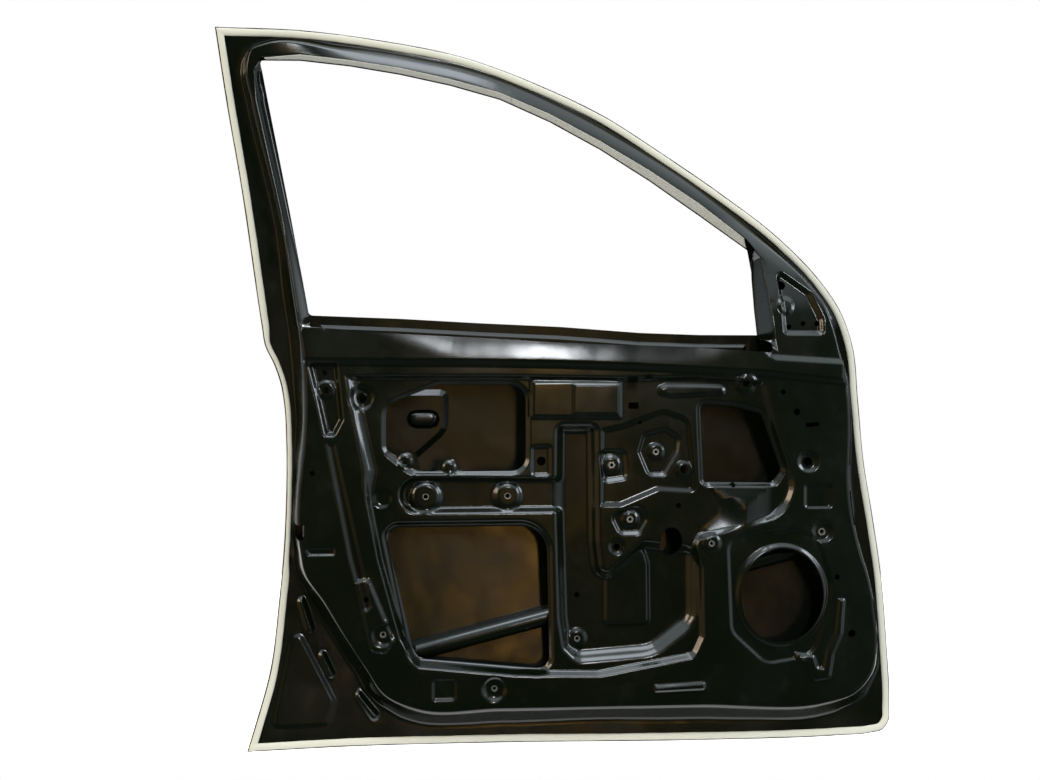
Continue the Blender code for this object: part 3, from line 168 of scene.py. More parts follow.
# Pressed forms: change by an amount or to a level, run of the wall, then corners with radii or an ellipse
FORMS = {
    "waist_roll": ("by", -6.5, 8.0, [
        (-872, 102, 8), (-595, 101), (-470, 99), (-349, 95), (-159, 86), (-20, 72, 4), (-18, 112, 4),
        (-139, 119), (-165, 146), (-716, 172), (-846, 176), (-872, 156, 8),
    ]),
    "waist_slope": ("by", 7.5, 40.0, [
        (-850, 205), (-800, 172), (-640, 118, 90), (-470, 115), (-349, 111), (-262, 110, 70), (-160, 144),
        (-139, 200),
    ]),
    "field": ("to", -80.0, 6.0, [
        (-798, 86, 4), (-568, 87), (-376, 84), (-255, 86), (-151, 77, 8), (-131, 2), (-100, -86, 50),
        (-122, -134, 58), (-191, -152), (-262, -168, 14), (-249, -210, 10), (-247, -318, 16),
        (-262, -350, 20), (-411, -375, 30), (-540, -371), (-690, -354, 12), (-716, -312, 10), (-749, -191),
        (-772, -71), (-787, 19),
    ]),
    "flank": ("to", -90.0, 14.0, [
        (-850, 96, 4), (-784, 96, 6), (-771, 19, 30), (-754, -58, 12), (-762, -104, 12), (-850, -104, 4),
    ]),
    "waist_pad": ("by", -4.0, 5.0, [(-518, 80, 5), (-375, 81, 5), (-375, 19, 5), (-518, 20, 5)]),
    "square_pad": ("by", -2.5, 3.0, [(-453, 74, 3), (-380, 74, 3), (-380, 26, 3), (-453, 26, 3)]),
    "latch_pocket": ("by", 9.0, 7.0, [
        (-854, 104, 6), (-808, 104, 6), (-799, 19, 8), (-812, -6, 6), (-828, -6, 6), (-840, 49, 8),
    ]),
    "column_groove": ("by", 4.0, 5.0, [
        (-826, -14, 4), (-812, -14, 4), (-776, -175, 6), (-756, -262, 6), (-770, -272, 6), (-792, -190, 6),
    ]),
    "upper_rim": ("by", 7.0, 5.5, [
        (-743, 45, 32), (-658, 78, 25), (-518, 78, 31), (-518, -66, 28), (-698, -66, 34), (-743, -30, 24),
    ]),
    "lower_rim": ("by", 10.0, 9.0, [
        (-748, -134, 24), (-484, -134, 50), (-480, -376, 26), (-702, -352, 26),
    ]),
    "bridge_band": ("by", 11.0, 8.0, [(-718, -66, 28), (-458, -70, 6), (-458, -124, 6), (-718, -124, 28)]),
    "corner_pocket": ("by", 5.0, 5.0, [(-517, -20, 8), (-484, -20, 6), (-484, -70, 6), (-517, -70, 8)]),
    "basin": ("to", -63.0, 14.0, [
        (-478, 13, 14), (-412, 13, 14), (-410, -170, 12), (-404, -222, 8), (-340, -168, 10),
        (-257, -178, 20), (-256, -298, 44), (-323, -348, 60), (-446, -356, 24), (-467, -334, 16),
        (-474, -288), (-479, -120),
    ]),
    "basin_square": ("by", -5.0, 5.0, [
        (-401, -224, 6), (-338, -178, 8), (-329, -206, 8), (-328, -304, 12), (-401, -304, 12),
    ]),
    "mid_plateau_step": ("by", 4.0, 6.0, [
        (-408, 4, 6), (-376, 10, 8), (-310, 34, 16), (-268, 20, 20), (-258, -96, 10), (-318, -92, 12),
        (-376, -116, 12), (-410, -116, 6),
    ]),
    "triangle_pocket": ("by", 6.0, 5.0, [
        (-350, -32, 12), (-341, -3, 12), (-305, 6, 12), (-281, -10, 12), (-284, -34, 10), (-306, -70, 12),
        (-334, -70, 12),
    ]),
    "boss_pocket": ("by", 6.0, 5.0, [(-414, -28, 10), (-368, -28, 10), (-364, -74, 10), (-405, -80, 10)]),
    "low_pocket": ("by", 6.0, 5.0, [
        (-394, -132, 10), (-376, -120, 8), (-344, -113, 12), (-333, -138, 10), (-346, -160, 12),
        (-380, -160, 12),
    ]),
    "front_rim": ("by", 6.0, 5.5, [
        (-258, 50, 16), (-196, 45, 16), (-148, 33, 14), (-114, -62, 16), (-131, -88, 16), (-252, -86, 12),
    ]),
    "swoosh": ("to", -90.0, 38.0, [
        (-242, -82, 4), (-218, -115, 14), (-218, -129, 14), (-245, -151, 12), (-261, -188, 4),
        (-180, -202, 4), (-149, -179, 10), (-143, -127, 20), (-141, -83, 8),
    ]),
    "window_ramp": ("by", -4.0, 5.0, [
        (-336, 62, 8), (-306, 74, 8), (-200, 72, 10), (-214, 56, 8), (-300, 52, 8),
    ]),
    "speaker_face": ("by", 3.0, 4.0, [
        (-212, -164, 26), (-127, -150, 30), (-66, -160, 30), (-40, -240, 40), (-70, -352, 40),
        (-150, -364, 30), (-206, -312, 30),
    ]),
    "speaker_collar": ("by", -5.0, 5.0, (-124, -256, 74, 81)),
    "hinge_pad": ("by", 3.0, 4.0, [(-88, -82, 8), (-42, -82, 8), (-42, -122, 8), (-88, -122, 8)]),
    "front_gusset": ("by", -4.0, 4.0, [
        (-34, -262, 4), (-22, -262, 4), (-26, -318, 6), (-40, -350, 8), (-46, -388, 8), (-76, -392, 8),
        (-82, -360, 6), (-104, -356, 5), (-104, -344, 5), (-72, -350, 6), (-62, -380, 4), (-54, -342, 8),
        (-40, -316, 6),
    ]),
    "sail_pocket": ("by", 8.0, 6.0, [
        (-127, 258, 8), (-74, 218, 10), (-56, 176, 8), (-56, 150, 8), (-121, 150, 8),
    ]),
    "side_capsule": ("by", -5.0, 5.0, [
        (-784, -222, 10), (-762, -216, 10), (-722, -312, 10), (-736, -334, 10), (-760, -330, 10),
    ]),
    "lock_step": ("by", 3.0, 3.0, [(-856, -172, 3), (-812, -172, 3), (-812, -184, 3), (-852, -184, 3)]),
    "corner_bead_a": ("by", -5.0, 5.0, [
        (-878, -252, 8), (-862, -256, 8), (-845, -306, 8), (-858, -318, 8),
    ]),
    "corner_bead_b": ("by", -5.0, 5.0, [
        (-845, -338, 8), (-831, -336, 8), (-812, -374, 8), (-824, -384, 8),
    ]),
    "corner_bead_c": ("by", -5.0, 5.0, [
        (-792, -398, 9), (-778, -396, 9), (-744, -436, 9), (-756, -448, 9),
    ]),
    "corner_plate": ("by", -2.5, 5.0, [
        (-886, -325, 10), (-872, -300, 10), (-812, -412, 12), (-824, -448, 10), (-910, -448, 12),
    ]),
    "lower_slot": ("by", -4.0, 4.0, [(-328, -390, 5), (-246, -386, 5), (-246, -400, 5), (-328, -402, 5)]),
    "lower_clip_pad": ("by", 3.0, 4.0, [
        (-668, -372, 6), (-630, -372, 6), (-630, -406, 6), (-668, -406, 6),
    ]),
}

# Bend radii of the forms that are softer than the rest
SOFT = {"waist_roll": 3.6, "waist_slope": 11.0, "flank": 5.0, "swoosh": 7.0, "basin": 4.0}
# Width over which the top bar of the window frame is rolled, its bend, and where it fades in: start and run
BAR_ROLL = 34.0
BAR_BEND = 2.0
BAR_FADE_UP = (240.0, 100.0)
BAR_FADE_ALONG = (-925.0, 170.0)
# Where the rear pillar's return wall is twice as wide: start and run, down from the top and back along x
PILLAR_TOP = (525.0, 25.0)
PILLAR_FRONT = (-700.0, 50.0)
# Bend of a plain wall, and how far down the raised edge's wall its rows of points lie, in shares of the run
BEND_SHARE = 0.45
WALL_SHARES = (-2.4, -1.7, -1.2, -0.9, -0.6, -0.35, -0.15, 0.05, 0.25, 0.5, 0.75, 0.95, 1.15, 1.35)

# Round bosses: centre, radius of the foot, change of depth, run
BOSSES = [
    (-677, -98, 26, -8.0, 9.0), (-552, -98, 24, -8.0, 9.0), (-741, -303, 19, 4.0, 6.0),
    (-773, 52, 20, 4.0, 7.0), (-826, 64, 15, -3.0, 4.0), (-443, -321, 16, -4.0, 5.0),
    (-390, -52, 16, -5.0, 5.0), (-362, -136, 15, -5.0, 5.0), (-320, -32, 14, -3.0, 4.0),
    (-277, -60, 14, -3.0, 4.0), (-180, 74, 17, -4.0, 5.0), (-81, -48, 17, 4.0, 5.0),
    (-58, -158, 17, 4.0, 5.0), (-237, -173, 16, -4.0, 5.0), (-573, -390, 20, 5.0, 7.0),
    (-708, -44, 12, -4.0, 4.0), (-641, -54, 11, -4.0, 4.0), (-115, 196, 15, -4.0, 5.0),
    (-742, -100, 15, 3.0, 5.0), (-383, -178, 13, 3.0, 4.0),
]

OPENINGS = [
    [(-737, 42, 26), (-658, 72, 20), (-524, 72, 26), (-524, -60, 22), (-622, -60, 5), (-627, -42, 9),
     (-655, -42, 9), (-660, -60, 5), (-684, -60, 8), (-692, -31, 8), (-722, -31, 10), (-737, -17, 10)],
    [(-740, -145, 20), (-491, -145, 42), (-487, -366, 18), (-692, -344, 22)],
    [(-250, 43, 8), (-196, 38, 12), (-153, 27, 10), (-121, -62, 10), (-135, -81, 12), (-245, -79, 6)],
    [(-877, -160, 2), (-852, -160, 2), (-852, -138, 2), (-877, -138, 2)],
    [(-367, 85, 1), (-351, 85, 1), (-351, 76, 1), (-367, 76, 1)],
    [(-340, 87, 1), (-329, 87, 1), (-329, 80, 1), (-340, 80, 1)],
    [(-365, 45, 1), (-349, 45, 1), (-349, 35, 1), (-365, 35, 1)],
    [(-86, 12, 2), (-64, 14, 2), (-64, 8, 2), (-86, 6, 2)],
    [(-5, -110, 1), (1, -110, 1), (2, -130, 1), (-4, -130, 1)],
]
SPEAKER = (-124, -256, 66, 73)
FRONT_OVAL = (-297, -172, 17, 23)

# Round holes: centre and radius
HOLES = [
    (-677, -98, 5), (-552, -98, 5), (-741, -303, 5), (-773, 52, 8), (-826, 64, 5), (-828, 90, 4),
    (-443, -321, 5), (-390, -52, 6), (-362, -136, 6), (-320, -32, 5), (-277, -60, 6), (-180, 74, 5),
    (-81, -48, 7), (-58, -158, 6), (-237, -173, 5), (-573, -390, 5), (-708, -44, 5), (-641, -54, 4),
    (-500, -45, 7), (-443, -254, 4), (-286, -115, 4), (-199, -84, 4), (-122, 61, 4), (-100, 30, 5),
    (-11, -318, 6), (-35, -229, 4), (-118, 229, 7), (-110, 163, 4), (-87, 168, 4), (-65, 168, 4),
    (-766, -250, 4), (-383, -178, 5), (-346, 14, 3), (-846, -60, 4),
]
HINGES = [0.0, -310.0]
HINGE_BOLT_SPACING = 44.0
HINGE_BOLT_RADIUS = 5.0

# Outer handle recess in the skin
HANDLE_SLOT = [(-706, 33, 15), (-653, 33, 15), (-653, 3, 15), (-706, 3, 15)]
HANDLE_CUP_DEPTH = 9.0
CUP_LEDGE = 2.5
CUP_RUN = 4.5
CUP_BEND = 2.0

# Sealer over the edge of the hem
SEALER_START = 2.0
SEALER_OVERLAP = 4.0
SEALER_HEIGHT = 1.8
SEALER_GAP = 0.45
# How far its edges wander, and the waves of its edges and of its height: length, phase and share
SEALER_WANDER = 0.35
EDGE_WAVES = ((37, 0, 0.5), (13.7, 1, 0.3), (5.3, 2, 0.2))
HEIGHT_WAVES = ((61, 3, 0.5), (9.1, 0, 0.5))

# Glass run strips
STRIP_JOINT = -545.0
STRIP_SHEET = 1.2
STRIP_DEPTH = 24.5
STRIP_LAP = 1.5
STRIP_INSET = 0.5
STRIP_STEP = 8.0
# Places across the strip, and how much its four long edges are cut back
STRIP_SHARES = (0.0, 0.012, 0.25, 0.5, 0.75, 0.988, 1.0)
STRIP_TRIM = 0.35
STRIP_PANEL_POINTS = [(-915, 552.5), PANEL_EDGE[0], (-790, 554), *PANEL_EDGE[1:], (-172, 305)]
STRIP_SKIN_POINTS = [(-915, 554), *SKIN_EDGE, (-162, 290)]

# Impact beam
BEAM_REAR = (-722.0, -346.0)
BEAM_FRONT = (-40.0, -182.0)
BEAM_RADIUS = 14.0
BEAM_FROM_SKIN = 19.0
# How far the drawn tube's outside and inside lie within the solid's outside
BEAM_INSET = 0.05
BEAM_WALL = 2.0

# How finely the sheets are divided, in millimetres and degrees
BEND_RADIUS = 2.6
EDGE_BEND = 5.0
ALONG = 3.6
ARC_TURN = 12.0
OUTLINE_STEP = 7.0
WINDOW_STEP = 6.0
OPENING_STEP = 5.0
SKIN_GRID = 12.0
PANEL_GRID = 15.0
# Clearance of the lattice in shares of its step, and least distance of a loose point from an outline
GRID_CLEAR = 0.45
EDGE_CLEAR = 0.4
NORMAL_STEP = 0.2


def closed(corners):
    """Anticlockwise outline: corners with a radius become arcs in equal steps, the others stay sharp."""
    points = []
    for index, (x, z, *radii) in enumerate(corners):
        here = np.array((x, z), float)
        if not radii:
            points.append(here)
            continue
        radius = radii[0]
        before = np.array(corners[index - 1][:2], float) - here
        after = np.array(corners[(index + 1) % len(corners)][:2], float) - here
        before /= np.linalg.norm(before)
        after /= np.linalg.norm(after)
        half = math.acos(float(np.clip(before @ after, -1, 1))) / 2
        middle = here + (before + after) / np.linalg.norm(before + after) * radius / math.sin(half)
        start = here + before * radius / math.tan(half) - middle
        sweep = math.pi - 2 * half
        end = here + after * radius / math.tan(half) - middle
        if start[0] * end[1] - start[1] * end[0] < 0:
            sweep = -sweep
        steps = max(1, math.ceil(abs(sweep) / math.radians(ARC_TURN)))
        angles = np.arange(steps + 1) * sweep / steps
        turned = np.column_stack((start[0] * np.cos(angles) - start[1] * np.sin(angles),
                                  start[0] * np.sin(angles) + start[1] * np.cos(angles)))
        points.extend(middle + turned)
    return anticlockwise(distinct(np.array(points)))


def distinct(loop, closest=0.05):
    """Closed loop without the points that repeat the one before them."""
    apart = np.linalg.norm(loop - np.roll(loop, 1, axis=0), axis=1)
    return loop[apart > closest]


def full_turn(steps):
    """Angles of a full turn in equal steps."""
    return np.arange(steps) * 2 * math.pi / steps


def ellipse(centre_x, centre_z, half_x, half_z, sides):
    """Ellipse: centre plus half widths times the cosine and sine of equal angle steps."""
    angles = full_turn(sides)
    return np.column_stack((centre_x + half_x * np.cos(angles), centre_z + half_z * np.sin(angles)))


def spline(points, fine=24):
    """Closed cubic curve through the points with chord-weighted tangents; a third value of 0 is a corner."""
    values = np.array([point[:2] for point in points], float)
    sharp = [len(point) > 2 and point[2] == 0 for point in points]
    count = len(points)
    t = (np.arange(fine) / fine)[:, None]
    pieces = []
    for index in range(count):
        start = values[index]
        end = values[(index + 1) % count]
        before = start - (end - start) if sharp[index] else values[index - 1]
        after = end + (end - start) if sharp[(index + 1) % count] else values[(index + 2) % count]
        length = np.linalg.norm(end - start)
        leave = tangent(before, start, end) * length
        arrive = tangent(start, end, after) * length
        pieces.append((2 * t ** 3 - 3 * t ** 2 + 1) * start + (t ** 3 - 2 * t ** 2 + t) * leave
                      + (3 * t ** 2 - 2 * t ** 3) * end + (t ** 3 - t ** 2) * arrive)
    return np.concatenate(pieces)


def tangent(before, here, after):
    """Direction of a smooth curve at a point between two neighbours."""
    first = np.linalg.norm(here - before)
    second = np.linalg.norm(after - here)
    slope = (here - before) / first * second + (after - here) / second * first
    return slope / (first + second)


def evenly(loop, step):
    """Closed loop with its long sides cut into equal parts no longer than the step."""
    pieces = []
    for here, after in zip(loop, np.roll(loop, -1, axis=0)):
        parts = max(1, math.ceil(np.linalg.norm(after - here) / step))
        pieces.append(here + (after - here) * (np.arange(parts) / parts)[:, None])
    return np.concatenate(pieces)


def anticlockwise(loop):
    """The loop turned so that its area is positive."""
    after = np.roll(loop, -1, axis=0)
    area = (loop[:, 0] * after[:, 1] - loop[:, 1] * after[:, 0]).sum()
    return loop if area > 0 else loop[::-1]


def inset(loop, distance):
    """Anticlockwise outline moved inwards by its distance along the bisectors of its corners."""
    before = loop - np.roll(loop, 1, axis=0)
    after = np.roll(loop, -1, axis=0) - loop
    before /= np.linalg.norm(before, axis=1)[:, None]
    after /= np.linalg.norm(after, axis=1)[:, None]
    bisector = np.column_stack((-(before + after)[:, 1], (before + after)[:, 0]))
    bisector /= np.linalg.norm(bisector, axis=1)[:, None]
    normal = np.column_stack((-after[:, 1], after[:, 0]))
    stretch = 1 / np.clip((bisector * normal).sum(axis=1), 0.35, 1)
    return loop + bisector * (stretch * distance)[:, None]


def signed_distance(points, loop, reach=None):
    """Distance inside a closed loop, negative outside; beyond the reach it stops at minus the reach."""
    if reach is not None:
        low = loop.min(axis=0) - reach
        high = loop.max(axis=0) + reach
        near = np.all((points > low) & (points < high), axis=1)
        result = np.full(len(points), -float(reach))
        result[near] = np.maximum(signed_distance(points[near], loop), -float(reach))
        return result
    side = np.roll(loop, -1, axis=0) - loop
    nearest = np.full(len(points), 1e18)
    inside = np.zeros(len(points), bool)
    x, z = points[:, 0], points[:, 1]
    for corner, edge in zip(loop, side):
        dx, dz = x - corner[0], z - corner[1]
        along = np.clip((dx * edge[0] + dz * edge[1]) / max(edge @ edge, 1e-9), 0, 1)
        nearest = np.minimum(nearest, (dx - along * edge[0]) ** 2 + (dz - along * edge[1]) ** 2)
        crosses = (corner[1] > z) != (corner[1] + edge[1] > z)
        safe = edge[1] if abs(edge[1]) > 1e-9 else 1e-9
        inside ^= crosses & (x < corner[0] + dz / safe * edge[0])
    return np.where(inside, 1, -1) * np.sqrt(nearest)


def soft(value, radius):
    """Zero below minus the radius, the value above the radius, and a parabola between them."""
    return np.where(value > radius, value, np.clip(value + radius, 0, None) ** 2 / (4 * radius))


def bent_ramp(distance, run, radius):
    """Ramp from 0 to 1 over the run, with a bend of the radius at its foot and at its top."""
    return (soft(distance, radius) - soft(distance - run, radius)) / run


def smooth_step(value):
    """Ease from 0 to 1."""
    value = np.clip(value, 0, 1)
    return value * value * (3 - 2 * value)


def fade(value, start, run):
    """Ease from 0 at the start to 1 a run further on."""
    return smooth_step((value - start) / run)


def skin_depth(points):
    """Depth of the outer skin: a crown up the door and a slight bow along it."""
    return -CROWN * points[:, 1] ** 2 - BOW * (points[:, 0] - BOW_CENTRE) ** 2


def wall_runs(loop):
    """How far the wall runs out at each point of the raised edge, blended between the marks."""
    marks = np.array([point[:2] for point in RAISED_EDGE], float)
    runs = np.array([point[2] for point in RAISED_EDGE], float)
    distance = np.linalg.norm(loop[:, None, :] - marks[None, :, :], axis=2)
    weight = 1 / (distance + 1.0) ** 3
    return (weight * runs).sum(axis=1) / weight.sum(axis=1)


def form_loop(shape):
    """Outline of one pressed form: an ellipse from its centre and half widths, or a table of corners."""
    return ellipse(*shape, 72) if isinstance(shape, tuple) else closed(shape)


def form_bend(name, run):
    """Bend radius at the foot and the top of a form's wall."""
    return SOFT.get(name, min(BEND_RADIUS, run * 0.5))


class Pressing:
    """Depth of the pressed inner panel as a function of plan position."""

    def __init__(self):
        self.edge = anticlockwise(spline([point[:2] for point in RAISED_EDGE], 10))
        self.foot = inset(self.edge, -wall_runs(self.edge))
        self.crest = closed(CREST)
        self.forms = [(form_loop(shape), how, amount, run, form_bend(name, run))
                      for name, (how, amount, run, shape) in FORMS.items()]

    def bar(self, points):
        """Share of the rolled bar over the window, 0 to 1."""
        return fade(points[:, 1], *BAR_FADE_UP) * fade(points[:, 0], *BAR_FADE_ALONG)

    def base(self, points):
        """Flange, wall and raised face before the forms are pressed."""
        skin = skin_depth(points)
        flange = skin - SKIN_SHEET - GAP - PANEL_SHEET
        share = smooth_step((FRAME_TOP - points[:, 1]) / FRAME_FADE)
        raised = (skin - FRAME_RISE) * (1 - share) + RAIL_LEVEL * share
        inside_edge = signed_distance(points, self.edge)
        inside_foot = signed_distance(points, self.foot)
        run = np.clip(inside_foot - inside_edge, 1.0, None)
        radius = np.clip(run * BEND_SHARE, 1.0, EDGE_BEND)
        bar = self.bar(points)
        weight = np.clip((soft(inside_foot, radius) - soft(inside_edge, radius)) / run, 0, 1)
        rolled = np.clip(soft(inside_foot, BAR_BEND) / BAR_ROLL, 0, 1)
        weight = weight * (1 - bar) + rolled * (1.5 - 0.5 * rolled) * bar
        return flange * (1 - weight) + raised * weight

    def depth(self, points):
        """Cabin side of the finished panel."""
        returned = skin_depth(points) - INNER_FLANGE_RISE
        pillar = fade(-points[:, 1], -PILLAR_TOP[0], PILLAR_TOP[1])
        pillar = pillar * fade(-points[:, 0], -PILLAR_FRONT[0], PILLAR_FRONT[1])
        run = FRAME_RETURN * (1 + pillar)
        share = bent_ramp(signed_distance(points, self.crest, 30), run, run * BEND_SHARE)
        share = share * (1 - self.bar(points))
        depth = self.base(points) * (1 - share) + returned * share
        for loop, how, amount, run, radius in self.forms:
            weight = bent_ramp(signed_distance(points, loop, 2 * radius), run, radius)
            depth = depth + weight * amount if how == "by" else depth * (1 - weight) + amount * weight
        for x, z, foot, amount, run in BOSSES:
            distance = foot - np.hypot(points[:, 0] - x, points[:, 1] - z)
            depth = depth + amount * bent_ramp(distance, run, form_bend("boss", run))
        return depth

    def edge_points(self):
        """Points that follow the raised edge's wall, kept off the wall of the window's return."""
        edge = evenly(self.edge, ALONG * 1.4)
        edge_runs = wall_runs(edge)
        points = row_points([(edge, -edge_runs * share) for share in WALL_SHARES])
        past = signed_distance(points, self.crest, 12)
        return points[(past < -FRAME_RETURN) | (past > FRAME_RETURN * 3)]

    def guides(self):
        """Rows of points that follow every bend: each loop moved across its own bends."""
        walls = [(self.crest, run, run * BEND_SHARE) for run in (FRAME_RETURN, 2 * FRAME_RETURN)]
        walls += [(loop, run, radius) for loop, _how, _amount, run, radius in self.forms]
        walls = [(evenly(loop, ALONG), run, radius) for loop, run, radius in walls]
        for x, z, foot, _amount, run in BOSSES:
            walls.append((ellipse(x, z, foot, foot, 32), run, form_bend("boss", run)))
        return [(loop, distance) for loop, run, radius in walls for distance in bend_rows(run, radius)]


def bend_rows(run, radius):
    """Offsets of the rows across a ramp: through its foot bend, its wall and its top bend."""
    foot = [-radius, -radius * 0.35, radius * 0.35]
    top = [run - radius * 0.35, run + radius * 0.35, run + radius]
    middle = [run / 2] if run > 2.5 * radius else []
    return foot + middle + top


def row_points(rows):
    """Moved rows, without the points that come too near another part of their own loop."""
    kept = []
    for loop, distance in rows:
        moved = inset(loop, distance)
        true = signed_distance(moved, loop)
        kept.append(moved[np.abs(true - distance) < 0.25])
    return np.concatenate(kept)


def thinned(points, closest):
    """Points with at most one in each cell of a square lattice."""
    cells = np.floor(points / closest).astype(np.int64)
    _unique, first = np.unique(cells, axis=0, return_index=True)
    return points[np.sort(first)]


def lattice(border, step):
    """Lattice of points over the border's box, with every second row shifted by half a step."""
    low, high = border.min(axis=0), border.max(axis=0)
    columns = np.arange(low[0] + step / 2, high[0], step)
    rows = np.arange(low[1] + step / 2, high[1], step * 0.87)
    x, z = np.meshgrid(columns, rows)
    x = x + (np.arange(len(rows)) % 2 * step / 2)[:, None]
    return np.column_stack((x.ravel(), z.ravel()))


def away_from(points, others, distance):
    """Points that have none of the others within about a distance."""
    low = points.min(axis=0) - distance
    size = np.ceil((points.max(axis=0) - low) / distance).astype(int) + 3
    taken = np.zeros(size + 2, bool)
    cells = np.clip(np.floor((others - low) / distance).astype(int) + 1, 0, size)
    taken[cells[:, 0], cells[:, 1]] = True
    wide = taken.copy()
    for dx in (-1, 0, 1):
        for dz in (-1, 0, 1):
            wide |= np.roll(np.roll(taken, dx, axis=0), dz, axis=1)
    own = np.floor((points - low) / distance).astype(int) + 1
    return points[~wide[own[:, 0], own[:, 1]]]


def plan_mesh(border, openings, rows, step):
    """Triangles inside the border and outside the openings, through rows of points and a lattice between."""
    edges = []
    first = 0
    for loop in (border, *openings):
        index = np.arange(len(loop))
        edges.append(np.column_stack((first + index, first + (index + 1) % len(loop))))
        first += len(loop)
    fixed = np.concatenate((border, *openings))
    grid = away_from(lattice(border, step), np.concatenate((rows, fixed)), step * GRID_CLEAR)
    loose = np.concatenate((rows, grid))
    loose = loose[signed_distance(loose, border) > EDGE_CLEAR]
    for loop in openings:
        loose = loose[signed_distance(loose, loop, 3.0) < -EDGE_CLEAR]
    everything = np.concatenate((fixed, loose))
    made = delaunay_2d_cdt([Vector(place) for place in everything.tolist()],
                           np.concatenate(edges).tolist(), [], 0, 0.01, False)
    places = np.array([tuple(place) for place in made[0]])
    triangles = np.array(made[2])
    centres = places[triangles].mean(axis=1)
    keep = signed_distance(centres, border) > 0
    for loop in openings:
        keep &= signed_distance(centres, loop, 3.0) < 0
    triangles = triangles[keep]
    first = places[triangles[:, 1]] - places[triangles[:, 0]]
    second = places[triangles[:, 2]] - places[triangles[:, 0]]
    turned = first[:, 0] * second[:, 1] - first[:, 1] * second[:, 0] < 0
    triangles[turned] = triangles[turned][:, ::-1]
    used, numbered = np.unique(triangles, return_inverse=True)
    return places[used], numbered.reshape(triangles.shape)


def surface_normals(points, depth_of):
    """Unit normals towards the cabin from the slope of the depth function, by central differences."""
    step = np.array((NORMAL_STEP, 0.0))
    slope_x = (depth_of(points + step) - depth_of(points - step)) / (2 * NORMAL_STEP)
    slope_z = (depth_of(points + step[::-1]) - depth_of(points - step[::-1])) / (2 * NORMAL_STEP)
    normals = np.column_stack((slope_x, -np.ones(len(points)), slope_z))
    return normals / np.linalg.norm(normals, axis=1)[:, None]


def lifted(plan, depth):
    """Plan points with their depth between x and z."""
    return np.column_stack((plan[:, 0], depth, plan[:, 1]))


def rim_edges(triangles):
    """Directed edges that only one triangle uses."""
    edges = np.concatenate((triangles[:, [0, 1]], triangles[:, [1, 2]], triangles[:, [2, 0]]))
    size = int(triangles.max()) + 1
    forward = edges[:, 0] * size + edges[:, 1]
    backward = edges[:, 1] * size + edges[:, 0]
    return edges[~np.isin(forward, backward)]


def make_piece(name, corners, faces, material, nodes, normals=None, sharp=None):
    """Mesh object from points in millimetres and triangles.

    Each corner of each triangle has its own normal, or else the faces are turned outwards and the edges
    that bend by more than the sharp angle, in degrees, stay hard.
    """
    if normals is None and signed_volume(corners, faces) < 0:
        faces = faces[:, ::-1]
    placed = (corners - np.array((0.0, HINGE_FACE_DEPTH, 0.0))) * MILLIMETRE
    used, numbered = np.unique(faces, return_inverse=True)
    placed = placed[used]
    faces = numbered.reshape(faces.shape).astype(np.int32)
    mesh = bpy.data.meshes.new(name)
    mesh.vertices.add(len(placed))
    mesh.vertices.foreach_set("co", placed.ravel())
    mesh.loops.add(faces.size)
    mesh.loops.foreach_set("vertex_index", faces.ravel())
    mesh.polygons.add(len(faces))
    mesh.polygons.foreach_set("loop_start", np.arange(len(faces), dtype=np.int32) * 3)
    mesh.update(calc_edges=True)
    mesh.polygons.foreach_set("use_smooth", np.ones(len(faces), bool))
    mesh.validate()
    if normals is None:
        mesh.set_sharp_from_angle(angle=math.radians(sharp))
    else:
        mesh.normals_split_custom_set(normals.reshape(-1, 3).tolist())
    mesh.materials.append(material)
    thing = bpy.data.objects.new(name, mesh)
    bpy.context.scene.collection.objects.link(thing)
    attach(thing, "root")
    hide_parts(*nodes)


def face_normals(corners, faces):
    """Flat unit normal of each triangle, three times over."""
    a, b, c = corners[faces[:, 0]], corners[faces[:, 1]], corners[faces[:, 2]]
    flat = np.cross(b - a, c - a)
    flat /= np.clip(np.linalg.norm(flat, axis=1), 1e-12, None)[:, None]
    return np.repeat(flat[:, None, :], 3, axis=1)


def quads_to_triangles(quads):
    """Two triangles for each four-cornered face."""
    return np.concatenate((quads[:, [0, 1, 2]], quads[:, [0, 2, 3]]))


def rim_sides(rim, count):
    """Cut edge between the two sides of a sheet, where the far side is numbered on from the count."""
    return quads_to_triangles(np.column_stack((rim[:, 1], rim[:, 0], rim[:, 0] + count, rim[:, 1] + count)))


def tube_faces(rows, size, ring=True):
    """Triangles between rows of points, the last row joined to the first; each row is a ring or open."""
    r, s = np.meshgrid(np.arange(rows), np.arange(size if ring else size - 1), indexing="ij")
    below = (r + 1) % rows
    after = (s + 1) % size
    quads = np.stack((r * size + s, r * size + after, below * size + after, below * size + s), axis=-1)
    return quads_to_triangles(quads.reshape(-1, 4))


def signed_volume(corners, faces):
    """Six times the volume inside the triangles."""
    a, b, c = corners[faces[:, 0]], corners[faces[:, 1]], corners[faces[:, 2]]
    return float((a * np.cross(b, c)).sum())


# Outline shared by the hem, the sealer and both sheets
def hem_outline():
    """Outer outline of the skin, anticlockwise, with no more than the outline step between points."""
    curve = spline(OUTLINE, 10)[::-1]
    return evenly(distinct(curve, 0.5), OUTLINE_STEP)


def hem_widths(outline):
    """Width of the hem at each outline point, eased narrower beside the latch."""
    low, high, ease = LATCH_SIDE
    beside = fade(outline[:, 1], low, ease) * fade(-outline[:, 1], -high, ease) * (outline[:, 0] < -850)
    return (1 - HEM_NARROWING * beside) * HEM_WIDTH


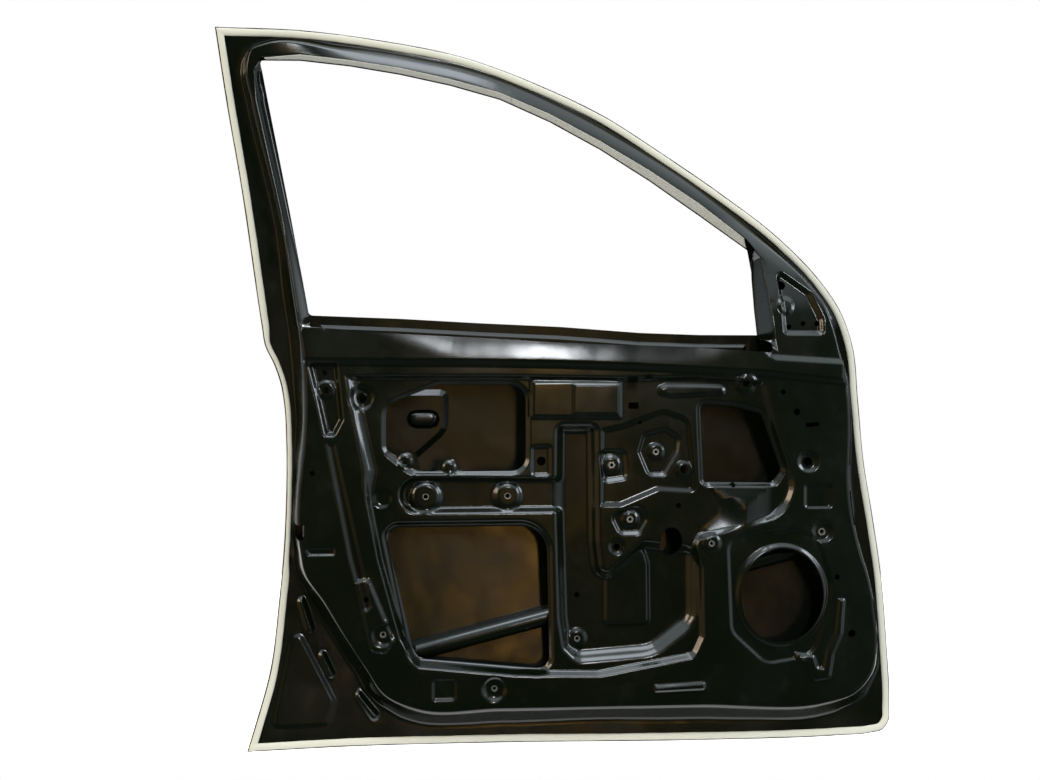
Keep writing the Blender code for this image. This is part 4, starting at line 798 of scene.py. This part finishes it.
def all_openings():
    """Every outline that goes through the inner panel."""
    loops = [evenly(closed(PANEL_WINDOW), WINDOW_STEP)]
    loops += [evenly(closed(corners), OPENING_STEP) for corners in OPENINGS]
    loops += [ellipse(*SPEAKER, 96), ellipse(*FRONT_OVAL, 48)]
    loops += [ellipse(x, z, radius, radius, 24) for x, z, radius in HOLES]
    for height in HINGES:
        for side in (-1, 1):
            z = height + side * HINGE_BOLT_SPACING / 2
            front = [point for point in RAISED_EDGE if point[0] > -60][::-1]
            x = float(np.interp(z, [point[1] for point in front],
                                [point[0] + point[2] / 2 for point in front]))
            loops.append(ellipse(x, z, HINGE_BOLT_RADIUS / 3, HINGE_BOLT_RADIUS, 16))
    return loops


def build_inner_panel(settings, material):
    """Pressed panel: depth over plan as flange, wall and face plus a bent ramp for each form and boss.

    The cabin side is moved back along its normals by the sheet, with a cut edge between the two sides.
    """
    press = Pressing()
    outline = hem_outline()
    border = inset(outline, HEM_FOLD + EDGE_GAP)
    openings = all_openings()
    rows = thinned(np.concatenate((row_points(press.guides()), press.edge_points())), settings.closest)
    places, triangles = plan_mesh(border, openings, rows, PANEL_GRID)
    front = lifted(places, press.depth(places))
    normals = surface_normals(places, press.depth)
    count = len(front)
    corners = np.concatenate((front, front - normals * PANEL_SHEET))
    sides = rim_sides(rim_edges(triangles), count)
    faces = np.concatenate((triangles, triangles[:, ::-1] + count, sides))
    loop_normals = np.concatenate((normals[triangles], -normals[triangles[:, ::-1]],
                                   face_normals(corners, sides)))
    make_piece("pressed_inner_panel", corners, faces, material, ["inner_panel"], loop_normals)


def cup_depth(points):
    """Recess for the outer handle: a bent ramp in from the slot's outline."""
    distance = signed_distance(points, closed(HANDLE_SLOT), 20) - CUP_LEDGE
    return bent_ramp(distance, CUP_RUN, CUP_BEND) * HANDLE_CUP_DEPTH


def build_skin(settings, material):
    """Outer skin with its hem: a curved sheet inside a fold that wraps over the inner panel's edge."""
    outline = hem_outline()
    border = inset(outline, HEM_FOLD)
    window = evenly(closed(SKIN_WINDOW), WINDOW_STEP)
    slot = evenly(closed(HANDLE_SLOT), ALONG)
    cup_rows = [(slot, CUP_LEDGE + distance) for distance in bend_rows(CUP_RUN, CUP_BEND)]
    rows = thinned(row_points(cup_rows), settings.closest)
    places, triangles = plan_mesh(border, [window], rows, SKIN_GRID)

    def outer_depth(points):
        return skin_depth(points) - cup_depth(points) - INSIDE / 2

    outer = lifted(places, outer_depth(places))
    normals = surface_normals(places, outer_depth)
    inner = outer + normals * SKIN_SHEET
    count = len(places)
    size = len(border)
    ring = np.array([int(np.argmin(((places - point) ** 2).sum(axis=1))) for point in border])
    on_ring = np.zeros(count, bool)
    on_ring[ring] = True
    rim = rim_edges(triangles)
    rim = rim[~(on_ring[rim[:, 0]] & on_ring[rim[:, 1]])]
    sides = rim_sides(rim, count)
    hem = hem_rows(outline)
    corners = np.concatenate((inner, outer, *hem))
    fold = [2 * count + index * size + np.arange(size) for index in range(len(hem))]
    chain = [ring, *fold, ring + count]
    bands = []
    for near, far in zip(chain, chain[1:]):
        bands.append(np.column_stack((np.roll(near, -1), near, far, np.roll(far, -1))))
    band_faces = quads_to_triangles(np.concatenate(bands))
    faces = np.concatenate((triangles, triangles[:, ::-1] + count, sides, band_faces))
    make_piece("outer_skin", corners, faces, material, ["outer_panel"], sharp=50)


def hem_rows(outline):
    """Rows round the fold of the hem, from the skin's inner side over the flange to its outer side."""
    lower = SKIN_SHEET + 2 * GAP + PANEL_SHEET
    middle = (lower + SKIN_SHEET) / 2
    ends = hem_widths(outline)
    rows = []
    for angle in np.radians((-60, -30, 0, 30, 60, 90)):
        height = middle + (middle - SKIN_SHEET) * math.sin(angle)
        rows.append((HEM_FOLD - FOLD_INSIDE * math.cos(angle), height))
    for share in (0.35, 0.7, 1.0):
        rows.append((HEM_FOLD + (ends - HEM_FOLD) * share, lower))
    for share in (1.0, 0.7, 0.35, 0.0):
        rows.append((HEM_FOLD + (ends - HEM_FOLD) * share, lower + SKIN_SHEET))
    for angle in np.radians((60, 36, 12, -12, -36, -60)):
        rows.append((HEM_FOLD - (HEM_FOLD - INSIDE) * math.cos(angle), middle + middle * math.sin(angle)))
    return carried(outline, rows)


def carried(outline, section):
    """A row of points for each place of a section: the outline moved in by a distance and up by a height."""
    rows = []
    for distance, height in section:
        loop = inset(outline, distance)
        rows.append(lifted(loop, skin_depth(loop) - height))
    return rows


def wave_sum(along, table):
    """Sum of sines of the way along a line, each with its length, phase and share."""
    return sum(np.sin(along / length + phase) * share for length, phase, share in table)


def build_sealer(settings, material):
    """Sealer bead: a low dome carried round the hem's edge, its width and height wandering a little."""
    outline = hem_outline()
    widths = hem_widths(outline)
    hem_face = 2 * (SKIN_SHEET + GAP) + PANEL_SHEET + SEALER_GAP
    flange_face = SKIN_SHEET + GAP + PANEL_SHEET + SEALER_GAP
    along = np.cumsum(np.linalg.norm(outline - np.roll(outline, 1, axis=0), axis=1))
    wander = SEALER_WANDER * wave_sum(along, EDGE_WAVES)
    top = SEALER_HEIGHT * (0.9 + 0.09 * wave_sum(along, HEIGHT_WAVES))
    start = SEALER_START + wander * settings.sealer_wander
    reach = widths + SEALER_OVERLAP - SEALER_WANDER + np.roll(wander, 7) * settings.sealer_wander
    section = []
    for angle in np.linspace(0, math.pi, 9):
        across = (1 - math.cos(angle)) / 2
        rise = math.sin(angle) ** 0.7
        distance = start + (reach - start) * across
        seat = np.where(distance < widths + GAP, hem_face, flange_face)
        edge = hem_face * (1 - across) + flange_face * across
        section.append((distance, edge + (hem_face + top - edge) * rise if 0 < angle < math.pi else seat))
    section += [(widths + GAP, flange_face), (widths + GAP, hem_face)]
    corners = np.concatenate(carried(outline, section))
    faces = tube_faces(len(section), len(outline))
    make_piece("seam_sealer", corners, faces, material, ["hem_sealer_bead"], sharp=60)


def build_strip(name, low, high, node, material):
    """Glass run strip: a thin sheet from the panel's window edge to the skin's, carried along the window."""
    panel_points = np.array(STRIP_PANEL_POINTS, float)
    skin_points = np.array(STRIP_SKIN_POINTS, float)
    along = np.gradient(skin_points, axis=0)
    along /= np.linalg.norm(along, axis=1)[:, None]
    outward = np.column_stack((-along[:, 1], along[:, 0]))
    x = np.linspace(low, high, max(8, int((high - low) / STRIP_STEP)))
    at = [np.interp(x, skin_points[:, 0], column) for column in (*panel_points.T, *skin_points.T, *outward.T)]
    panel_place = np.column_stack(at[0:2])
    skin_place = np.column_stack(at[2:4])
    direction = np.column_stack(at[4:6])
    direction /= np.linalg.norm(direction, axis=1)[:, None]
    near = panel_place - direction * STRIP_INSET
    far = skin_place + direction * (STRIP_LAP + STRIP_SHEET)
    rows = []
    for side, shares in ((0.0, STRIP_SHARES), (1.0, STRIP_SHARES[::-1])):
        for share in shares:
            place = near * (1 - share) + far * share - direction * STRIP_SHEET * side
            rise = STRIP_DEPTH * (1 - share) + (SKIN_SHEET + GAP) * share
            trim = STRIP_TRIM if share in (0.0, 1.0) else 0.0
            place = place - direction * (trim if side == 0.0 else -trim)
            rows.append(lifted(place, skin_depth(place) - rise))
    size = len(x)
    faces = [tube_faces(len(rows), size, False)]
    for end in (0, size - 1):
        ring = np.arange(len(rows)) * size + end
        fan = np.column_stack((np.full(len(ring) - 2, ring[0]), ring[1:-1], ring[2:]))
        faces.append(fan if end else fan[:, ::-1])
    corners, faces = np.concatenate(rows), np.concatenate(faces)
    make_piece(name, corners, faces, material, [node], sharp=40)


def build_beam(material):
    """Impact beam: a round tube, its outer and inner rings of equal angle steps set along a straight axis."""
    ends = np.array((BEAM_REAR, BEAM_FRONT))
    rear, front = lifted(ends, skin_depth(ends) - BEAM_FROM_SKIN)
    length = np.linalg.norm(front - rear)
    axis = (front - rear) / length
    across = np.cross(axis, (0.0, 1.0, 0.0))
    across /= np.linalg.norm(across)
    deep = np.cross(across, axis)
    angles = full_turn(40)
    shares = np.linspace(0, 1, 41)
    rings = [(share, BEAM_RADIUS - BEAM_INSET) for share in shares]
    rings += [(share, BEAM_RADIUS - BEAM_WALL) for share in shares[::-1]]
    round_axis = np.cos(angles)[:, None] * across + np.sin(angles)[:, None] * deep
    corners = np.concatenate([rear + axis * length * share + radius * round_axis for share, radius in rings])
    faces = tube_faces(len(rings), len(angles))
    make_piece("beam_tube", corners, faces, material, ["impact_beam"], sharp=50)


class Sum:
    """A shader socket that takes part in Python sums; each sum adds its Math node."""

    def __init__(self, tree, socket):
        self.tree = tree
        self.socket = socket

    def _with(self, operation, *others):
        node = self.tree.nodes.new("ShaderNodeMath")
        node.operation = operation
        for slot, value in zip(node.inputs, (self, *others)):
            if isinstance(value, Sum):
                self.tree.links.new(value.socket, slot)
            else:
                slot.default_value = value
        return Sum(self.tree, node.outputs[0])

    def __add__(self, other):
        return self._with("ADD", other)

    __radd__ = __add__

    def __sub__(self, other):
        return self._with("SUBTRACT", other)

    def __rsub__(self, other):
        return self._with("MULTIPLY", -1.0)._with("ADD", other)

    def __mul__(self, other):
        return self._with("MULTIPLY", other)

    __rmul__ = __mul__

    def clamped(self):
        """The value kept between 0 and 1."""
        return self._with("MAXIMUM", 0.0)._with("MINIMUM", 1.0)


class Shader:
    """Builds the nodes of one material or world around the shader at its end."""

    def __init__(self, name, kind="materials", last="Principled BSDF"):
        self.owner = getattr(bpy.data, kind).new(name)
        self.owner.use_nodes = True
        self.tree = self.owner.node_tree
        self.last = self.tree.nodes[last]

    def node(self, kind, settings=None, output=0, **sockets):
        """Add a node of a type with its settings first and then the values or links of its sockets."""
        node = self.tree.nodes.new(kind)
        for key, value in (settings or {}).items():
            setattr(node, key, value)
        for key, value in sockets.items():
            self.put(node.inputs[int(key[1:]) if key[0] == "i" and key[1:].isdigit() else key], value)
        return Sum(self.tree, node.outputs[output])

    def put(self, socket, value):
        """Give a socket a value or a link."""
        if isinstance(value, Sum):
            self.tree.links.new(value.socket, socket)
        else:
            socket.default_value = value

    def place(self, kind="Object"):
        """Object coordinates in metres, or another kind of coordinate."""
        return self.node("ShaderNodeTexCoord", output=kind)

    def axes(self, kind):
        """The x, y and z of a kind of coordinate."""
        place = self.place(kind)
        return [self.node("ShaderNodeSeparateXYZ", output=axis, Vector=place) for axis in "XYZ"]

    def rays(self):
        """Whether the ray comes from the camera, from gloss or through clear matter, each 0 or 1."""
        names = ("Is Camera Ray", "Is Glossy Ray", "Is Transmission Ray")
        return [self.node("ShaderNodeLightPath", output=name) for name in names]

    def noise(self, scale, detail=2.0, roughness=0.5):
        """Soft noise between 0 and 1 at a scale in waves per metre."""
        return self.node("ShaderNodeTexNoise", Vector=self.place(), Scale=scale, Detail=detail,
                         Roughness=roughness)

    def mapped(self, value, low, high, to_low=0.0, to_high=1.0):
        """A value carried from one range to another and held there."""
        return self.node("ShaderNodeMapRange", i0=value, i1=low, i2=high, i3=to_low, i4=to_high)

    def blend(self, factor, first, second):
        """Two colours mixed by a factor."""
        return self.node("ShaderNodeMix", {"data_type": "RGBA"}, 2, i0=factor, i6=first, i7=second)

    def bump(self, height, strength, distance, **below):
        """Surface relief from a height; Normal is an earlier relief below it."""
        return self.node("ShaderNodeBump", Strength=strength, Distance=distance, Height=height, **below)

    def finish(self, **sockets):
        """Set the last shader's sockets, their names written with underscores."""
        for key, value in sockets.items():
            self.put(self.last.inputs[key.replace("_", " ")], value)
        return self.owner


def coat_material(name, settings, dust):
    """Glossy black electrocoat: orange peel, slow waves of the sheet, duller patches and thin dust."""
    shader = Shader(name)
    peel = shader.noise(520.0, 2.0, 0.5)
    waves = shader.noise(16.0, 1.5, 0.4)
    patches = shader.noise(9.0, 3.0, 0.6)
    fine = shader.noise(1900.0, 1.0, 0.5)
    specks = shader.mapped(shader.noise(700.0, 1.0, 0.6), 0.71, 0.78)
    film = shader.mapped(shader.noise(24.0, 4.0, 0.65), 0.55, 0.85) * dust
    grime = (film + specks * (0.5 * dust)).clamped()
    colour = shader.blend(patches, (*settings.coat_colour, 1.0), (*settings.coat_tint, 1.0))
    colour = shader.blend(grime * 0.2, colour, (0.05, 0.048, 0.042, 1.0))
    rough = shader.mapped(patches, 0.35, 0.75, settings.coat_roughness * 0.8, settings.coat_roughness * 1.4)
    rough = (rough + grime * 0.08 + fine * 0.02).clamped()
    relief = shader.bump(waves, 0.5, 0.0018)
    relief = shader.bump(peel, settings.peel_strength, 0.00006, Normal=relief)
    return shader.finish(Base_Color=colour, Roughness=rough, Normal=relief)


def sealer_material(settings):
    """Cream sealer: a satin film with slow mottling, fine grain, lumps and a few dark rubbed spots."""
    shader = Shader("cream_seam_sealer")
    slow = shader.noise(22.0, 3.0, 0.6)
    grain = shader.noise(900.0, 2.0, 0.6)
    lumps = shader.noise(120.0, 2.0, 0.5)
    marks = shader.mapped(shader.noise(31.0, 2.0, 0.5), 0.755, 0.79) * shader.mapped(grain, 0.4, 0.6)
    colour = shader.blend(slow, (*settings.sealer_colour, 1.0), (0.66, 0.65, 0.53, 1.0))
    colour = shader.blend(marks * 0.8, colour, (0.10, 0.09, 0.07, 1.0))
    relief = shader.bump(lumps, 0.15, 0.0003)
    relief = shader.bump(grain, 0.1, 0.00002, Normal=relief)
    rough = shader.mapped(grain, 0.2, 0.8, 0.42, 0.62)
    return shader.finish(Base_Color=colour, Roughness=rough, Normal=relief)


def strip_material(settings):
    """Pale glass run: matt film with long faint scuffs and fine grain."""
    shader = Shader("pale_glass_run_strip")
    slow = shader.noise(12.0, 3.0, 0.6)
    grain = shader.noise(1300.0, 2.0, 0.6)
    scuffs = shader.mapped(shader.noise(60.0, 4.0, 0.7), 0.55, 0.8)
    colour = shader.blend(slow, (*settings.strip_colour, 1.0), (0.50, 0.50, 0.43, 1.0))
    colour = shader.blend(scuffs * 0.35, colour, (0.30, 0.30, 0.27, 1.0))
    rough = shader.mapped(slow, 0.3, 0.7, 0.45, 0.65)
    relief = shader.bump(grain, 0.1, 0.00001)
    return shader.finish(Base_Color=colour, Roughness=rough, Normal=relief)


def nut_material():
    """Dull zinc: pale metal with a faint crystal pattern and slow darker patches."""
    shader = Shader("dull_zinc")
    crystal = shader.noise(700.0, 3.0, 0.6)
    slow = shader.noise(150.0, 2.0, 0.5)
    colour = shader.blend(slow, (0.42, 0.41, 0.36, 1.0), (0.26, 0.25, 0.22, 1.0))
    rough = shader.mapped(crystal, 0.3, 0.7, 0.32, 0.55)
    relief = shader.bump(crystal, 0.3, 0.00006)
    return shader.finish(Base_Color=colour, Roughness=rough, Metallic=0.9, Normal=relief)


# Middle of the door along x, half widths of the oval floor, how far that is set back and how white it starts
DOOR_MIDDLE = -0.45
FLOOR_HALF = (1.7, 0.9)
FLOOR_SHIFT = 0.835
FLOOR_LIFT = 0.3


def floor_material():
    """Plain pale floor: it shows its shadow near the shell and runs out to the white of the background."""
    shader = Shader("pale_floor")
    grain = shader.noise(3.0, 2.0, 0.5)
    colour = shader.blend(grain, (0.93, 0.93, 0.94, 1.0), (0.90, 0.90, 0.91, 1.0))
    camera, gloss, through = shader.rays()
    seen = (camera + gloss + through).clamped()
    x, y = shader.axes("Object")[:2]
    across = (x - DOOR_MIDDLE) * (1 / FLOOR_HALF[0])
    deep = (y - FLOOR_SHIFT) * (1 / FLOOR_HALF[1])
    away = shader.mapped(across * across + deep * deep, 0.25, 0.95)
    strength = seen * (away * (1 - FLOOR_LIFT) + FLOOR_LIFT)
    return shader.finish(Base_Color=colour, Roughness=0.8, Emission_Color=(1.0, 1.0, 1.0, 1.0),
                         Emission_Strength=strength)


class DoorPaintSettings(bpy.types.PropertyGroup):
    """Colours and finishes of the shell."""

    coat_colour: bpy.props.FloatVectorProperty(
        name="Coat colour", description="Base colour of the black coat", subtype="COLOR", size=3,
        default=(0.0017, 0.0034, 0.0009), min=0, max=1)
    coat_tint: bpy.props.FloatVectorProperty(
        name="Coat tint", description="Second colour of the black coat's slow patches", subtype="COLOR",
        size=3, default=(0.0030, 0.0050, 0.0018), min=0, max=1)
    coat_roughness: bpy.props.FloatProperty(
        name="Coat roughness", description="Gloss of the coat; lower is shinier", default=0.16, min=0, max=1)
    peel_strength: bpy.props.FloatProperty(
        name="Orange peel", description="Strength of the fine waves in the coat", default=0.35, min=0, max=1)
    sealer_colour: bpy.props.FloatVectorProperty(
        name="Sealer colour", description="Colour of the seam sealer", subtype="COLOR", size=3,
        default=(0.76, 0.75, 0.62), min=0, max=1)
    strip_colour: bpy.props.FloatVectorProperty(
        name="Strip colour", description="Colour of the glass run strips", subtype="COLOR", size=3,
        default=(0.60, 0.60, 0.52), min=0, max=1)


class DoorSheetSettings(bpy.types.PropertyGroup):
    """Sizes of the fine sheets."""

    closest: bpy.props.FloatProperty(
        name="Closest points", description="Least distance between points of the sheets, in millimetres",
        default=0.75, min=0.2, max=5)
    sealer_wander: bpy.props.FloatProperty(
        name="Sealer wander", description="How far the sealer's edges wander, in millimetres", default=1.0,
        min=0, max=2)


class DoorStageSettings(bpy.types.PropertyGroup):
    """Camera, light and floor."""

    focal_length: bpy.props.FloatProperty(
        name="Focal length", description="Lens of the camera, in millimetres", default=38.94, min=10,
        max=200)
    camera_place: bpy.props.FloatVectorProperty(
        name="Camera place", description="Where the camera stands", subtype="TRANSLATION", unit="LENGTH",
        size=3, default=(-0.71315, -1.73480, 0.064))
    camera_turn: bpy.props.FloatProperty(
        name="Camera turn", description="Turn of the camera about the upright", subtype="ANGLE",
        default=math.radians(-6))
    floor_drop: bpy.props.FloatProperty(
        name="Floor drop", description="Space between the lowest edge and the floor", unit="LENGTH",
        default=0.0005, min=0, max=0.1)
    sky_strength: bpy.props.FloatProperty(
        name="Sky strength", description="Strength of the soft light from all round", default=0.55, min=0,
        max=5)


class DOOR_OT_sheets(bpy.types.Operator):
    """Build the pressed inner panel and the hemmed outer skin"""

    bl_idname = "door.sheets"
    bl_label = "Build sheets"

    def execute(self, context):
        """Make both sheets in the black coat."""
        scene = context.scene
        coat = coat_material("glossy_black_coat", scene.door_paint, 0.5)
        build_inner_panel(scene.door_sheets, coat)
        build_skin(scene.door_sheets, coat)
        return {"FINISHED"}


class DOOR_OT_sealer(bpy.types.Operator):
    """Lay the seam sealer round the hem"""

    bl_idname = "door.sealer"
    bl_label = "Lay sealer"

    def execute(self, context):
        """Make the sealer bead."""
        build_sealer(context.scene.door_sheets, sealer_material(context.scene.door_paint))
        return {"FINISHED"}


class DOOR_OT_strips(bpy.types.Operator):
    """Fit the glass run strips to the window frame"""

    bl_idname = "door.strips"
    bl_label = "Fit strips"

    def execute(self, context):
        """Make both strips."""
        pale = strip_material(context.scene.door_paint)
        build_strip("glass_run_rear", STRIP_SKIN_POINTS[0][0] + 1, STRIP_JOINT, "run_strip_rear", pale)
        build_strip("glass_run_front", STRIP_JOINT + 2 * GAP, STRIP_SKIN_POINTS[-1][0] - 1,
                    "run_strip_front", pale)
        return {"FINISHED"}


class DOOR_OT_beam(bpy.types.Operator):
    """Fit the impact beam"""

    bl_idname = "door.beam"
    bl_label = "Fit beam"

    def execute(self, context):
        """Make the tube."""
        build_beam(coat_material("beam_black_coat", context.scene.door_paint, 0.15))
        return {"FINISHED"}


class DOOR_OT_hardware(bpy.types.Operator):
    """Coat the reinforcements and nuts that stay as they are"""

    bl_idname = "door.hardware"
    bl_label = "Coat hardware"

    def execute(self, context):
        """Give every solid that still shows its finish."""
        coat = coat_material("reinforcement_black_coat", context.scene.door_paint, 0.9)
        zinc = nut_material()
        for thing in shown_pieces():
            if "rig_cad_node" in thing:
                thing.data.materials.clear()
                thing.data.materials.append(zinc if thing["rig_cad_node"].startswith("weld_nut") else coat)
        return {"FINISHED"}


class DOOR_OT_studio(bpy.types.Operator):
    """Set up the floor, lights, world and camera"""

    bl_idname = "door.studio"
    bl_label = "Set up studio"

    def execute(self, context):
        """Make the stage round the shell."""
        scene = context.scene
        settings = scene.door_stage
        scene.view_settings.view_transform = "Standard"
        build_floor(settings)
        build_world(scene, settings)
        build_lights(scene)
        build_camera(scene, settings)
        return {"FINISHED"}


def build_floor(settings):
    """Flat oval floor just below the lowest edge."""
    level = CAD_BOX[0][2] - settings.floor_drop
    oval = ellipse(DOOR_MIDDLE, FLOOR_SHIFT, *FLOOR_HALF, 96)
    rim = [(x, y, level) for x, y in oval.tolist()]
    mesh = bpy.data.meshes.new("studio_floor")
    mesh.from_pydata(rim, [], [tuple(range(len(rim)))])
    mesh.materials.append(floor_material())
    floor = bpy.data.objects.new("studio_floor", mesh)
    bpy.context.scene.collection.objects.link(floor)
    floor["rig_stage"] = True


# Brown patches that gloss sees in front: place and tightness along x and z, and strength
BROWN_PATCHES = ((0.115, 14.0, -0.065, 12.0, 0.6), (0.125, 28.0, 0.06, 34.0, 8.0))
# Red, green and blue of the dim room and of the brown wall
ROOM_TINTS = ((0.84, 1.0), (0.93, 0.52), (1.0, 0.11))


def build_world(scene, settings):
    """White to the camera and soft light from all round; to gloss, a dim room drawn by direction.

    The room is a sum of clamped ramps: paler behind the door, bright above, soft at the right. The brown
    wall in front is one round patch for each row of the table and a glow at the left.
    """
    shader = Shader("studio", "worlds", "Background")
    x, y, z = shader.axes("Generated")
    camera, gloss, through = shader.rays()
    shown = (camera + through).clamped()
    behind = (y * 1.4 + 1.05).clamped()
    beyond = (y * 2.0).clamped()
    above = ((z - 0.42) * 3.0).clamped()
    front = ((y - 0.15) * -3.0).clamped()
    below = (z * -1.0 - 0.5).clamped()
    right_side = ((x - 0.35) * 1.8).clamped() * (1.1 - z * z * 4.0).clamped()
    left_side = ((x + 0.4) * -2.0).clamped() * (1.1 - z * z * 8.0).clamped()
    room = behind * 0.12 + beyond * 0.15 + above * 1.9 + below * 0.05 + right_side * front * 0.8 + 0.03
    brown = 0.0
    for patch_x, tight_x, patch_z, tight_z, strength in BROWN_PATCHES:
        across = (x - patch_x) * tight_x
        up = (z - patch_z) * tight_z
        brown = brown + (1.2 - across * across).clamped() * (1.2 - up * up).clamped() * strength
    brown = brown * (0.0 - y).clamped() + left_side * front * 0.5
    light = (1.0 - (shown + gloss).clamped()) * settings.sky_strength
    red, green, blue = (shown + light + gloss * (room * cool + brown * warm) for cool, warm in ROOM_TINTS)
    colour = shader.node("ShaderNodeCombineXYZ", X=red, Y=green, Z=blue)
    scene.world = shader.finish(Color=colour, Strength=1.0)


def add_light(scene, name, place, target, size, energy, colour):
    """One rectangular lamp that points at a place."""
    data = bpy.data.lights.new(name, "AREA")
    data.shape = "RECTANGLE"
    data.size, data.size_y = size
    data.energy = energy
    data.color = colour
    lamp = bpy.data.objects.new(name, data)
    lamp.location = place
    lamp.rotation_mode = "QUATERNION"
    lamp.rotation_quaternion = (Vector(target) - Vector(place)).to_track_quat("-Z", "Y")
    lamp.visible_camera = False
    scene.collection.objects.link(lamp)


# Lamps: name, place, target, size, energy and colour
DOOR_CENTRE = (DOOR_MIDDLE, 0.0, 0.0)
COOL = (0.84, 0.92, 1.0)
WARM = (1.0, 0.80, 0.58)
LAMPS = (
    ("ceiling_lamp", (-0.45, -1.1, 2.6), DOOR_CENTRE, (1.6, 1.0), 36.0, COOL),
    ("left_lamp", (-2.9, -0.9, 0.9), DOOR_CENTRE, (0.6, 1.2), 22.0, WARM),
    ("right_lamp", (2.2, -0.9, 0.9), DOOR_CENTRE, (0.6, 1.2), 26.0, COOL),
    ("back_lamp", (-0.5, 2.4, 1.9), DOOR_CENTRE, (1.8, 1.2), 45.0, (0.95, 0.97, 1.0)),
    ("window_lamp", (-0.18, -2.6, 0.82), (-0.5, 0.0, 0.12), (0.3, 0.55), 20.0, (0.92, 0.96, 1.0)),
)


def build_lights(scene):
    """Cool lamps above, at the right and behind, a warm one at the left and a bright one over the camera."""
    for lamp in LAMPS:
        add_light(scene, *lamp)


def build_camera(scene, settings):
    """Camera at the photograph's angle."""
    data = bpy.data.cameras.new("view_camera")
    data.sensor_width = 36.0
    data.lens = settings.focal_length
    camera = bpy.data.objects.new("view_camera", data)
    camera.location = settings.camera_place
    camera.rotation_euler = (math.radians(90), 0.0, settings.camera_turn)
    scene.collection.objects.link(camera)
    scene.camera = camera


class DOOR_PT_panel(bpy.types.Panel):
    """Sidebar panel with every building step"""

    bl_idname = "DOOR_PT_panel"
    bl_label = "Door shell"
    bl_space_type = "VIEW_3D"
    bl_region_type = "UI"
    bl_category = "Door"

    def draw(self, context):
        """List the settings and the steps."""
        layout = self.layout
        for group in (context.scene.door_paint, context.scene.door_sheets, context.scene.door_stage):
            box = layout.box()
            for key in group.__annotations__:
                box.prop(group, key)
        for step in STEPS:
            layout.operator(step.bl_idname)


GROUPS = {"door_paint": DoorPaintSettings, "door_sheets": DoorSheetSettings, "door_stage": DoorStageSettings}
STEPS = (DOOR_OT_sheets, DOOR_OT_sealer, DOOR_OT_strips, DOOR_OT_beam, DOOR_OT_hardware, DOOR_OT_studio)


def register():
    """Register the settings, steps and panel."""
    for kind in (*GROUPS.values(), *STEPS, DOOR_PT_panel):
        bpy.utils.register_class(kind)
    for name, kind in GROUPS.items():
        setattr(bpy.types.Scene, name, bpy.props.PointerProperty(type=kind))


def unregister():
    """Remove the settings, steps and panel."""
    for name in GROUPS:
        delattr(bpy.types.Scene, name)
    for kind in reversed((*GROUPS.values(), *STEPS, DOOR_PT_panel)):
        bpy.utils.unregister_class(kind)


def main():
    """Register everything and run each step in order."""
    register()
    bpy.ops.door.sheets()
    bpy.ops.door.sealer()
    bpy.ops.door.strips()
    bpy.ops.door.beam()
    bpy.ops.door.hardware()
    bpy.ops.door.studio()


if __name__ == "__main__":
    main()
